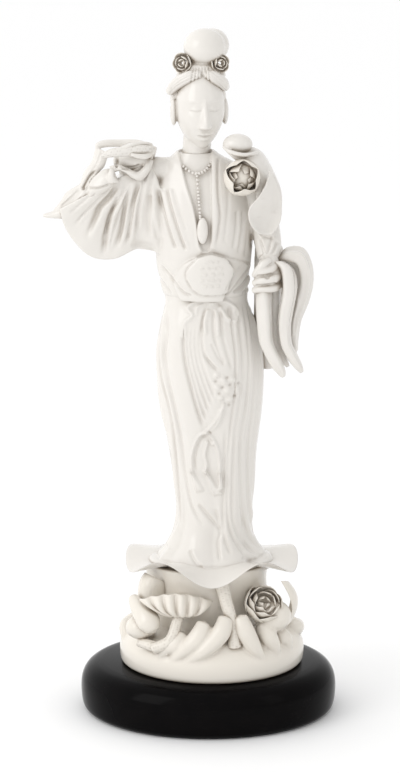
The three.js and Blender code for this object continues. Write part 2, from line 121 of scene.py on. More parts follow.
def limb(bm, path, radii, sides=24, rings=40, flat=1.0, relief=None):
    """A round limb along a path, with round ends. flat squeezes it from front to back."""
    path = [Vector(p) for p in path]

    def place(angle, t):
        step = t * rings
        s = min(max((step - 1) / (rings - 2), 0), 1)
        tangent = (along(path, min(s + 0.01, 1)) - along(path, max(s - 0.01, 0))).normalized()
        side = Vector((0, 1, 0)).cross(tangent).normalized()
        back = tangent.cross(side)
        radius = along(radii, s) + (relief(angle, s) if relief else 0)
        if step < 0.5 or step > rings - 0.5:
            return along(path, s) + tangent * radius * (0.4 if step > 1 else -0.4)
        return along(path, s) + (side * math.cos(angle) + back * math.sin(angle) * flat) * radius
    return skin(bm, sides, rings, place)


# %% Sheets of clay
def pour(bm, other):
    """Adds the forms of another bmesh to bm."""
    mesh = bpy.data.meshes.new("poured")
    other.to_mesh(mesh)
    other.free()
    bm.from_mesh(mesh)
    bpy.data.meshes.remove(mesh)


def rolled_out(bm, surface, thickness, across, lengthwise, ripple=None):
    """A sheet of clay on surface(u, t), u from -1 to 1 and t from 0 to 1, lifted by ripple(u, t)."""
    clay = bmesh.new()
    bmesh.ops.create_grid(clay, x_segments=across, y_segments=lengthwise, size=1.0)
    made = bmesh.ops.extrude_face_region(clay, geom=clay.faces[:], use_keep_orig=True)
    under = {v for v in made["geom"] if isinstance(v, bmesh.types.BMVert)}
    for v in clay.verts:
        u, t = v.co.x, (v.co.y + 1) / 2
        near_u, near_t = min(max(u, -0.95), 0.95), min(max(t, 0.04), 0.96)
        over_u = surface(near_u + 0.05, near_t) - surface(near_u - 0.05, near_t)
        over_t = surface(near_u, near_t + 0.04) - surface(near_u, near_t - 0.04)
        normal = over_u.cross(over_t).normalized()
        half = thickness / 2 * (1 - 0.5 * max(abs(u), abs(2 * t - 1)) ** 8)
        lift = ripple(u, t) if ripple else 0
        v.co = surface(u, t) + normal * (lift + (-half if v in under else half))
    bmesh.ops.recalc_face_normals(clay, faces=clay.faces[:])
    pour(bm, clay)


def sheet(bm, rows, thickness, across=12, lengthwise=40, ripple=None):
    """A curved sheet of clay through rows of [left edge, middle, right edge]."""
    lines = [[Vector(row[k]) for row in rows] for k in range(3)]

    def surface(u, t):
        left, middle, right = (along(line, t) for line in lines)
        return left * (u * (u - 1) / 2) + middle * (1 - u * u) + right * (u * (u + 1) / 2)
    rolled_out(bm, surface, thickness, across, lengthwise, ripple)


def petal(bm, centre, axis, turn, radius, wide, reach, thickness=1.1, flare=0.0, ruffle=0.0):
    """A pointed petal on a ball: from behind it, round and over towards the axis by `reach` radians."""
    facing = Vector(axis).to_track_quat("Z", "X")
    phase = 5 * turn

    def surface(u, t):
        polar = 0.5 + (reach - 0.5) * t
        azimuth = turn + u * wide * (1 - 0.97 * t**4)
        wave = ruffle * t * math.sin(3.6 * u + phase)
        r = radius * (1 + flare * t * t + 0.05 * u * u + wave)
        local = Vector((math.sin(polar) * math.cos(azimuth), math.sin(polar) * math.sin(azimuth), -math.cos(polar)))
        return Vector(centre) + facing @ (local * r)
    rolled_out(bm, surface, thickness, 10, 14)


def bloom(bm, centre, axis, rings, thickness=1.1, ruffle=0.0):
    """Rings of petals, each ring (radius, count, wide, reach, flare), turned against one another."""
    for k, (radius, count, wide, reach, flare) in enumerate(rings):
        for n in range(count):
            turn = 2 * math.pi * (n + 0.5 * (k % 2)) / count + 0.35 + 0.25 * math.sin(7 * n + k)
            petal(bm, centre, axis, turn, radius * (1 - 0.02 * n), wide, reach, thickness, flare, ruffle)


# %% [markdown]
# ## Clay that can be pressed
# Where arms, sleeves and folds run into each other, separate meshes would show hard joins that glazed
# porcelain never has. The forms of such a piece are wrapped in one skin with a voxel remesh. Its points
# are then held in arrays, so that a fold can be drawn as a line, seen from the front, and pressed into
# the clay or raised from it along the surface's own normals.


# %% One skin that can be pressed
class Clay:
    """A mesh's points as arrays, in millimetres, so that lines and dabs can be pressed into it."""

    def __init__(self, mesh):
        self.mesh = mesh
        self.count = len(mesh.vertices)
        self.points = self.read(mesh.vertices, "co")
        pairs = np.empty(len(mesh.edges) * 2, dtype=np.int64)
        mesh.edges.foreach_get("vertices", pairs)
        self.edges = pairs.reshape(-1, 2)
        self.neighbours = np.bincount(pairs, minlength=self.count)
        self.relief = np.zeros(self.count)
        self.settle()

    def read(self, source, name):
        flat = np.empty(self.count * 3)
        source.foreach_get(name, flat)
        return flat.reshape(-1, 3)

    def settle(self):
        """Writes the points to the mesh and reads its normals again."""
        self.mesh.vertices.foreach_set("co", self.points.ravel())
        self.mesh.update()
        self.normals = self.read(self.mesh.vertex_normals, "vector")

    def press(self):
        """Moves each point along its normal by what the lines and dabs have asked for."""
        self.points += self.normals * self.relief[:, None]
        self.relief[:] = 0
        self.settle()

    def smooth(self, rounds, where=1.0):
        """Draws each point towards the middle of its neighbours, as glaze rounds an edge."""
        a, b = self.edges.T
        for _ in range(rounds):
            mean = np.empty_like(self.points)
            for k in range(3):
                total = np.bincount(a, self.points[b, k], self.count) + np.bincount(b, self.points[a, k], self.count)
                mean[:, k] = total / self.neighbours
            self.points += 0.5 * where * (mean - self.points)
        self.settle()

    def line(self, path, width, depth, lip=0.0, taper=0.12, side=None):
        """A smooth line through (x, z) points on the front, pressed in by depth or, below 0, raised.

        lip raises the clay on its left, seen along the path. side, if given, marks the points to use.
        """
        path = [Vector(p) for p in path]
        steps = 6 * (len(path) - 1)
        drawn = np.array([along(path, k / steps) for k in range(steps + 1)])
        reach = 4 * width
        seen = self.points[:, [0, 2]]
        near = np.all((seen > drawn.min(0) - reach) & (seen < drawn.max(0) + reach), axis=1)
        near &= (self.normals[:, 1] < 0.25) if side is None else side
        near = np.flatnonzero(near)
        best = np.full(len(near), 1e9)
        signed = np.zeros(len(near))
        place = np.zeros(len(near))
        for k, (start, end) in enumerate(zip(drawn[:-1], drawn[1:])):
            ahead = end - start
            s = np.clip((seen[near] - start) @ ahead / (ahead @ ahead), 0, 1)
            off = seen[near] - start - s[:, None] * ahead
            distance = np.hypot(off[:, 0], off[:, 1])
            closer = distance < best
            best[closer] = distance[closer]
            signed[closer] = (np.sign(ahead[0] * off[:, 1] - ahead[1] * off[:, 0]) * distance)[closer]
            place[closer] = ((k + s) / steps)[closer]
        fade = blend(0, taper, place) * blend(0, taper, 1 - place) if taper else 1.0
        groove = np.exp(-((signed / width) ** 2))
        ridge = lip * np.exp(-(((signed - 2.0 * width) / (1.3 * width)) ** 2))
        self.relief[near] += fade * (ridge - depth * groove)

    def dab(self, centre, radii, height, lean=0.0):
        """A round swelling on the front at (x, z), or a dimple below 0. lean turns it, in degrees."""
        off = self.points[:, [0, 2]] - np.array(centre)
        c, s = math.cos(math.radians(lean)), math.sin(math.radians(lean))
        off = off @ np.array([[c, -s], [s, c]]) / np.array(radii)
        near = (self.normals[:, 1] < 0.25) & (np.hypot(off[:, 0], off[:, 1]) < 1)
        self.relief[near] += height * (1 - (off[near] ** 2).sum(1)) ** 2

    def within(self, outline):
        """True for the points on the front that lie inside the outline of (x, z) points."""
        x, z = self.points[:, 0], self.points[:, 2]
        inside = np.zeros(self.count, dtype=bool)
        for (ax, az), (bx, bz) in zip(outline, outline[1:] + outline[:1]):
            if az != bz:
                inside ^= ((az > z) != (bz > z)) & (x < (bx - ax) * (z - az) / (bz - az) + ax)
        return inside & (self.normals[:, 1] < 0.25)


def fused(name, bm, voxel, rounds=2):
    """One skin round all the overlapping forms in bm."""
    mesh = bpy.data.meshes.new(name)
    bm.to_mesh(mesh)
    bm.free()
    rough = bpy.data.objects.new(name, mesh)
    bpy.context.scene.collection.objects.link(rough)
    wrap = rough.modifiers.new("Wrap", "REMESH")
    wrap.mode = "VOXEL"
    wrap.voxel_size = voxel
    made = bpy.data.meshes.new_from_object(rough.evaluated_get(bpy.context.evaluated_depsgraph_get()))
    bpy.data.objects.remove(rough)
    clay = Clay(made)
    clay.smooth(rounds)
    return clay


# %% [markdown]
# ## Materials
# The body is hard-paste porcelain under a clear feldspar glaze, fired together. The glaze makes one even
# gloss with an IOR near that of glass. The hollows are painted a warm grey from an occlusion mask: this is
# painted shade, with a little of the tint of glaze that pools there, and it makes such carving readable. The stand is
# turned wood under black lacquer.


# %% Colours and nodes
def linear(code):
    """An sRGB hex colour as linear values."""
    channels = [int(code[k:k + 2], 16) / 255 for k in (1, 3, 5)]
    return [c / 12.92 if c <= 0.04045 else ((c + 0.055) / 1.055) ** 2.4 for c in channels] + [1.0]


def add(tree, kind, links=None, **settings):
    """A node with its settings and links: an input's name, or its number, and what feeds it."""
    node = tree.nodes.new(kind)
    for key, value in settings.items():
        setattr(node, key, value)
    for key, value in (links or {}).items():
        if isinstance(value, bpy.types.NodeSocket):
            tree.links.new(value, node.inputs[key])
        else:
            node.inputs[key].default_value = value
    return node


def material(name):
    """A new material with an empty Principled shader. Gives the material, its tree and the shader."""
    made = bpy.data.materials.new(name)
    made.use_nodes = True
    return made, made.node_tree, made.node_tree.nodes["Principled BSDF"]


# %% Glazed porcelain
def glazed_porcelain(name, body, pooled_and_shaded, pool_and_shade_reach):
    """White body under clear glaze, its hollows painted the second colour by an occlusion mask reaching the given mm:
    painted shade, with some pooled glaze tint.
    """
    made, tree, shader = material(name)
    place = add(tree, "ShaderNodeTexCoord").outputs["Object"]
    # Painted shade: ambient occlusion turns the hollows towards the darker colour, more than pooled glaze alone would.
    hollow = add(tree, "ShaderNodeAmbientOcclusion", {"Distance": pool_and_shade_reach * MM}, samples=6)
    pool_and_shade_mask = add(tree, "ShaderNodeMapRange", {0: hollow.outputs["AO"], 1: 0.35, 2: 0.92, 3: 1.0, 4: 0.0})
    tone = add(tree, "ShaderNodeMix", {0: pool_and_shade_mask.outputs[0], 6: linear(body), 7: linear(pooled_and_shaded)}, data_type="RGBA")
    # The glaze lies in broad soft waves, about 7 mm apart.
    waves = add(tree, "ShaderNodeTexNoise", {"Vector": place, "Scale": 1 / (7 * MM), "Detail": 1.0})
    bump = add(tree, "ShaderNodeBump", {"Height": waves.outputs[0], "Strength": 0.25, "Distance": 0.12 * MM})
    tree.links.new(tone.outputs[2], shader.inputs["Base Color"])
    tree.links.new(bump.outputs[0], shader.inputs["Normal"])
    shader.inputs["Roughness"].default_value = 0.12
    shader.inputs["IOR"].default_value = 1.5
    return made


# The second colour of each is painted shade for the hollows, with the warm tint of pooled glaze.
PORCELAIN = glazed_porcelain("glazed porcelain", "#E2DED8", "#A3988A", 5.0)
BISCUIT = glazed_porcelain("glazed porcelain, ivory", "#E4DED4", "#A99D8E", 3.5)


# %% Black lacquered wood
def lacquered_wood():
    """Turned wood under black lacquer: deep gloss, with faint dust and polish marks."""
    made, tree, shader = material("black lacquered wood")
    place = add(tree, "ShaderNodeTexCoord").outputs["Object"]
    marks = add(tree, "ShaderNodeTexNoise", {"Vector": place, "Scale": 1 / (12 * MM), "Detail": 5.0})
    tone = add(tree, "ShaderNodeMix", {0: marks.outputs[0], 6: linear("#050506"), 7: linear("#0E0C0C")}, data_type="RGBA")
    gloss = add(tree, "ShaderNodeMapRange", {0: marks.outputs[0], 3: 0.10, 4: 0.22})
    tree.links.new(tone.outputs[2], shader.inputs["Base Color"])
    tree.links.new(gloss.outputs[0], shader.inputs["Roughness"])
    # Old lacquer mirrors less than glass does.
    shader.inputs["Specular IOR Level"].default_value = 0.04
    return made


LACQUER = lacquered_wood()


# %% Finishing a piece
def finished(name, mesh, finish=None, levels=0, keep=1.0, node="porcelain_figure", slot="porcelain"):
    """The mesh, given in millimetres, as an object in metres that stands for its node.

    keep is the share of its triangles that stays: pressed clay is finer than its flat parts need.
    """
    mesh.transform(Matrix.Scale(MM, 4))
    made = bpy.data.objects.new(name, mesh)
    bpy.context.scene.collection.objects.link(made)
    if keep < 1:
        fewer = made.modifiers.new("Fewer triangles", "DECIMATE")
        fewer.ratio = keep
        thinned = made.evaluated_get(bpy.context.evaluated_depsgraph_get())
        made.data = bpy.data.meshes.new_from_object(thinned)
        made.modifiers.clear()
        bpy.data.meshes.remove(mesh)
    made.data.name = name
    made.data.shade_smooth()
    made.data.materials.clear()
    made.data.materials.append(finish or PORCELAIN)
    if levels:
        soft = made.modifiers.new("Soft edges", "SUBSURF")
        soft.levels = soft.render_levels = levels
    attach(made, "root")
    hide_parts(node)
    triangles = sum(len(p.vertices) - 2 for p in made.data.polygons)
    print(name, triangles if not levels else triangles * 4**levels, "triangles")
    return made


def piece(name, bm, finish=None, levels=0, **kind):
    """The forms in bm as one finished object."""
    bmesh.ops.recalc_face_normals(bm, faces=bm.faces[:])
    mesh = bpy.data.meshes.new(name)
    bm.to_mesh(mesh)
    bm.free()
    return finished(name, mesh, finish, levels, **kind)


# %% [markdown]
# ## The skirt
# From the waist down the robe was pressed from a mould and its folds were sharpened with a tool before
# glazing. The body of the skirt is lofted through level sections. Its folds are then drawn line by line:
# two long grooves down her right side, a fan below the waist, fine pleats on her left, and sweeps that
# run out over the leaf.

# %% Sections of the robe
ROBE = [
    (108, 2, 0, 44, 37), (114, 2, 0, 45, 38), (119, 2.2, 0, 39, 33), (127, 2.4, 0, 32, 28),
    (137, 3.2, 0, 28.8, 25), (150, 4.3, 0, 28, 24), (172, 3.9, 0, 29.5, 24.5), (196, 3, 0, 32, 26),
    (221, 2.2, 0, 36.2, 27.5), (246, 1.5, 0, 38.8, 28.5), (269, 1, 0, 38.4, 28), (289, 0, 0, 34.4, 26),
    (304, -1.3, 0, 29.8, 23.5), (318, -2.8, 0, 32, 24), (334, -3.6, 0, 34, 25), (352, -3, 0, 35, 25.5),
    (370, -2.5, 0, 36, 25), (385, -3, 0, 35.5, 22.5), (396, -4, 0, 32, 19), (404, -6.5, 0, 26.5, 15.5),
    (410, -8.6, 0, 17.5, 13), (414, -9, 0, 12.6, 12),
]
WAIST = 311


def skirt_pleats(angle, z):
    """Broad pleats all round, deeper at the hem; fine pleats where the front's drawn lines end."""
    hem = 1 - blend(118, 160, z)
    fall = 1 - blend(285, 306, z)
    behind = blend(-0.2, 0.5, math.sin(angle))
    broad = abs(math.cos(3.5 * angle + z / 180)) - 0.6
    narrow = abs(math.cos(10 * angle + 0.4 * math.sin(z / 30))) - 0.6
    return float(fall * (1.4 * broad + 1.2 * behind * narrow) + 1.6 * hem * broad)


# %% The folds of the skirt
def between(first, last, share):
    """A line part of the way from one line to another, both with as many points."""
    return [(a[0] + (b[0] - a[0]) * share, a[1] + (b[1] - a[1]) * share) for a, b in zip(first, last)]


SIDE_OUTER = [(-32.4, 304), (-35.4, 286), (-36.2, 268), (-34.3, 250), (-29.5, 232), (-25.7, 212.6), (-22.9, 182),
              (-20.8, 152), (-20.5, 138)]
SIDE_INNER = [(-29.5, 304), (-30.2, 284), (-32, 269.6), (-30.5, 254), (-25.6, 232), (-20.6, 208), (-17, 178),
              (-12, 155.6), (-1, 139)]
SIDE_LOW = [(-35.2, 220), (-29.4, 198.6), (-26.6, 170), (-23, 146), (-29, 130.5)]
FAN_FIRST = [(-17.6, 292.8), (-18.3, 278.6), (-16.9, 264), (-12.6, 245.7), (-8, 229), (-3.3, 215.8)]
FAN_LAST = [(-6.5, 290), (-7, 278), (-5.5, 266), (-2.2, 255.5), (1.5, 246), (4, 239)]
APRON = [(-1.2, 305), (-4.8, 291), (-4.1, 273.5), (0.2, 265), (7.4, 257.7)]
PLEATS = [
    [(14.5, 305), (17.3, 287), (19.5, 266), (18.2, 237), (14.6, 204), (13.3, 162), (15.5, 140), (24.3, 124), (33.7, 115.7)],
    [(19.5, 305), (22.4, 287), (24.6, 262), (22.5, 236), (18.3, 204), (16.9, 162), (18.4, 143), (27.2, 126), (42.7, 115.3)],
    [(24.6, 305), (27.4, 286), (28.9, 261), (26.8, 232), (22.6, 203), (23.5, 161), (25.8, 142), (31.7, 128), (39.1, 120.3)],
    [(27.6, 304), (31.1, 285), (33.3, 257), (32, 231), (28.5, 202), (28.6, 172), (30.2, 148), (34, 129.7)],
    [(30.5, 299), (34, 278), (36.3, 256), (34.9, 227), (31.4, 197), (31.6, 171), (33.2, 147)],
]
HEM_FOLDS = [
    [(12.4, 218), (11.1, 185), (10.4, 148), (11.9, 133), (17, 122)], [(4.6, 156.7), (8.3, 139.7), (6.8, 130.5), (8.2, 118.2)],
    [(-7.6, 159), (0, 150), (8.3, 139.7)], [(-30, 126), (-36, 119), (-43, 115.5)], [(-14, 126), (-10, 119), (-4, 115)],
    [(24, 121), (33, 116.5), (44, 116)],
]
HEM = [(-45, 116.4), (-37, 113.6), (-23.6, 112.4), (-8, 112), (8, 112.2), (24, 112.7), (36, 114), (46, 117.6)]
LONG_CORD = [(9.1, 231), (6.7, 225.4), (3.5, 219.6), (-2.1, 213.6), (-6.9, 210.4), (-9.9, 204.2), (-12, 195), (-11.7, 184.7)]
LONG_BRUSH = [(-11.7, 184.7), (-10, 179), (-8, 173), (-6.3, 168.5)]
SHORT_CORD = [(-2.1, 213.6), (2.8, 209.1), (5.7, 203.2), (7.9, 193.4), (7.9, 182.4)]
MIDDLE_CORD = [(-0.5, 207), (-1.9, 202), (-2.8, 196), (-1.4, 189.8), (-2.6, 184)]
MIDDLE_BRUSH = [(-2.6, 184), (0.1, 180), (2.9, 172.8), (7.2, 166)]
KNOT_LOOPS = [((5.7, 255.4), (3.6, 2.8), 20), ((6.2, 246.4), (3.4, 3), -30), ((10.5, 251.5), (3.2, 4.6), 30),
              ((17.2, 252), (4.4, 3.2), -25), ((19.6, 244.4), (3.2, 4.2), 10), ((13.4, 244.6), (3.6, 4.2), -40),
              ((14.8, 237.4), (4, 3), 25), ((8.6, 238.6), (3, 2.8), 0)]
KNOT_HOLES = [(5.2, 251), (7.6, 242), (13.4, 253.6), (21.6, 249), (18.6, 239.8), (14.6, 233.6), (10, 246.6), (15.4, 248.4)]


def skirt():
    bm = bmesh.new()
    waist = [(WAIST, -2, 0, 30, 23.2), (WAIST + 5, -2.4, 0, 27, 21)]
    lofted(bm, ROBE[:13] + waist, 200, 160, skirt_pleats)
    clay = fused("skirt", bm, 0.72)
    # Long grooves down her right side, and the fan of folds below the waist.
    clay.line(SIDE_OUTER, 1.0, 1.3, lip=0.6)
    clay.line(SIDE_INNER, 1.0, 1.3, lip=-0.4)
    clay.line(between(SIDE_OUTER, SIDE_INNER, -0.9), 1.3, 0.6)
    clay.line(between(SIDE_OUTER, SIDE_INNER, 1.6), 2.4, 0.5)
    clay.line(SIDE_LOW, 1.0, 0.9, lip=0.3)
    for k in range(5):
        clay.line(between(FAN_FIRST, FAN_LAST, k / 4), 1.25, 1.6 - 0.16 * k, lip=0.5)
    clay.line(APRON, 1.1, 1.4, lip=0.3)
    clay.line([(8.8, 304.5), (9.5, 286), (13, 272), (17, 258)], 1.2, 0.9)
    clay.line([(1.6, 279), (6.6, 268.5), (11.6, 262.6)], 0.9, 0.9)
    clay.line([(3.5, 304), (3.5, 286), (7.6, 271), (11.6, 264)], 1.0, 1.0)
    # Pleats down her left side run on into the sweeps of the hem.
    for k, path in enumerate(PLEATS):
        clay.line(path, 1.05 + 0.15 * (k % 2), 0.75 + 0.25 * (k % 3 == 0), lip=0.35, taper=0.05)
        if k < 4:
            clay.line(between(path, PLEATS[k + 1], 0.52)[1:5], 0.8, 0.4)
    for path in HEM_FOLDS:
        clay.line(path, 1.2, 1.0, lip=0.4)
    # Folds behind are guessed: a fan from the waist that opens towards the hem.
    behind = clay.normals[:, 1] > -0.1
    for k in range(9):
        f = k / 4 - 1
        path = [(22 * f, 306), (30 * f, 270), (27 * f + 2 * math.sin(3 * k), 225), (22 * f + 2.5, 170), (26 * f + 3, 130), (37 * f + 2, 115)]
        clay.line(path, 1.5 + 0.4 * math.sin(2 * k), 1.5, lip=0.7, side=behind)
    clay.press()
    # The hem is rolled, with a groove above the roll.
    clay.line([(x, z + 3.4) for x, z in HEM], 0.9, 0.8, taper=0)
    clay.line(HEM, 1.4, -0.7, taper=0)
    # The bow, the cords and their brushes are raised on the front.
    clay.line([(0.5, 309), (-9, 308), (-14.8, 303), (-11.5, 298), (-16.9, 292), (-18.6, 281)], 1.5, -1.5, taper=0.05)
    clay.line([(-2, 307), (-8, 303.5), (-8.6, 297)], 1.0, -0.9)
    clay.line([(4, 308.6), (13, 307), (20.5, 300), (19, 293.5), (13, 296), (7, 305)], 1.4, -1.5, taper=0.05)
    clay.dab((15.5, 299.5), (4.4, 6.4), -0.9, 30)
    clay.dab((2, 307.4), (5.2, 4.4), 2.6)
    clay.line([(-0.2, 303), (-2.6, 294), (-1.8, 284)], 1.2, -1.2)
    clay.line([(4.4, 303), (6.4, 294), (6.6, 282)], 1.2, -1.1)
    for path in (LONG_CORD, SHORT_CORD, MIDDLE_CORD, [(11, 235), (8.8, 226), (6, 219), (1, 213.5)]):
        clay.line(path, 1.0, -1.7, taper=0.04)
    clay.line([(x + 2.1, z - 1.4) for x, z in LONG_CORD[2:]], 0.8, 0.8)
    for centre in ((-11.7, 184.9), (2.8, 205), (-2.8, 184), (-1.6, 212.6)):
        clay.dab(centre, (2.5, 2.5), 1.7)
    for path, spread in ((LONG_BRUSH, 2.2), (MIDDLE_BRUSH, 2.2), ([(7.9, 184), (8.4, 177), (8.6, 170)], 1.6)):
        for k in (-1, 0, 1):
            fan = [(x + k * spread * i / 3, z + 0.5 * k * i / 3) for i, (x, z) in enumerate(path)]
            clay.line(fan, 0.8, -1.3, taper=0.05)
    # The flower knot, a tangle of loops with small dark holes.
    clay.dab((12.6, 245.6), (12, 13), 1.0)
    for centre, radii, lean in KNOT_LOOPS:
        clay.dab(centre, radii, 1.5, lean)
    clay.press()
    for centre in KNOT_HOLES:
        clay.dab(centre, (1.7, 1.3), -1.3)
    clay.press()
    clay.smooth(1)
    return finished("skirt", clay.mesh, keep=0.55)


skirt()

# %% [markdown]
# ## The upper robe and the raised sleeve
# The chest, both shoulders and the wide raised sleeve are one skin, because the folds run from one to
# the other without a break. The sleeve is a fan: its pleats leave the arm at one place and spread to the
# hem.


# %% Forms of the upper robe
SLEEVE_PIVOT = Vector((-42, -1, 407))
SLEEVE_REACH = [73, 77, 79.5, 80.5, 75, 65, 65.5, 70, 78]
SLEEVE_FIRST, SLEEVE_LAST = math.radians(28), math.radians(112)


def raised_sleeve(bm):
    """A fan about the pivot, thick at the arm and thin at its hem."""
    clay = bmesh.new()
    bmesh.ops.create_cube(clay, size=1.0)
    for axis, cuts in ((0, 90), (1, 24)):
        edges = [e for e in clay.edges if abs((e.verts[0].co - e.verts[1].co)[axis]) > 0.5]
        bmesh.ops.subdivide_edges(clay, edges=edges, cuts=cuts, use_grid_fill=True)
    for v in clay.verts:
        f, t, z = v.co.x + 0.5, 0.5 - v.co.y, v.co.z
        angle = SLEEVE_FIRST + (SLEEVE_LAST - SLEEVE_FIRST) * f
        r = 3 + (along(SLEEVE_REACH, f) - 3) * t
        pleat = 2.0 * math.sin(8 * math.pi * f + 0.6) * t * (1.25 - t)
        half = 11 * math.sqrt(1 - 0.75 * t * t) + 2.5 * t
        lean = 2 * z * half - pleat - 5 * t * (1 - f)
        v.co = SLEEVE_PIVOT + Vector((-r * math.cos(angle), lean, -r * math.sin(angle)))
    bmesh.ops.recalc_face_normals(clay, faces=clay.faces[:])
    pour(bm, clay)


def chest_folds(angle, z):
    """Soft folds down her back and sides; the front's are drawn later."""
    behind = blend(-0.3, 0.4, math.sin(angle))
    level = blend(312, 335, z) * (1 - blend(380, 402, z))
    return float(1.2 * level * behind * (abs(math.cos(6 * angle + z / 90)) - 0.6))


# %% Lines of the upper robe
NECK_LEFT = [(-21.9, 413.7), (-18.9, 403), (-15.4, 390), (-10.8, 375.7), (-8, 362), (-6.5, 349), (-4, 343)]
LAPEL_INNER = [(2.3, 412.8), (1.8, 405), (2.1, 389), (2.1, 369), (1.8, 351.7), (0, 344)]
LAPEL_OUTER = [(7.3, 408.7), (6.5, 403.6), (6.9, 383), (8.2, 368.6), (4.9, 347)]
CHEST_FOLDS = [
    [(-36, 388), (-33.2, 375), (-28.4, 358.4), (-23.2, 344.6)], [(-30.3, 388.6), (-27, 375), (-21.4, 357.6), (-16, 344)],
]
SLEEVE_FOLDS = [
    ([(-62.9, 391.5), (-70.1, 382.3), (-77.2, 375), (-80.1, 368.7), (-88.1, 350.7)], 1.9, 2.6),
    ([(-57.3, 391.5), (-64.4, 379.4), (-70.2, 368.7), (-73.1, 354.3), (-76.1, 338)], 1.7, 2.4),
    ([(-54.6, 392), (-58.7, 379.4), (-60.2, 372.3), (-62.4, 358), (-66.8, 343.5)], 1.5, 2.2),
    ([(-48.9, 393), (-53.1, 379.4), (-56, 361.5), (-58.9, 347)], 1.5, 2.2),
    ([(-44.2, 404), (-46.6, 390), (-50.2, 372.3), (-51.8, 354.3)], 1.4, 1.6),
    ([(-40.2, 404.4), (-41.7, 386.5), (-43.2, 365), (-42, 352)], 1.6, 1.2),
    ([(-62.5, 388), (-67.5, 376), (-71.6, 362), (-77, 348)], 0.9, 0.9),
    ([(-57.5, 385), (-63, 372), (-67.5, 358), (-71, 343)], 0.8, 0.8),
    ([(-51.5, 388), (-55.6, 374), (-58.4, 360), (-61.6, 350)], 0.8, 0.8),
    ([(-70, 388), (-79, 379), (-88, 370), (-96, 361)], 1.0, 0.9),
    ([(-76, 390), (-85, 382), (-93, 375), (-100, 369)], 1.0, 0.8),
]
PLAQUE = [(-7.6, 340.2), (-15.6, 331.6), (-16.2, 325.7), (-11.6, 317.4), (-4.8, 313), (9.2, 313.2), (15.2, 315),
          (23.1, 324.3), (28.9, 331), (24.8, 335.4), (10.8, 340), (2, 342.6)]
PLAQUE_ROWS = [(337.4, -3, 7), (332.8, -7, 10), (328.4, -6, 11), (324.1, -7, 9), (319.8, -5, 8)]


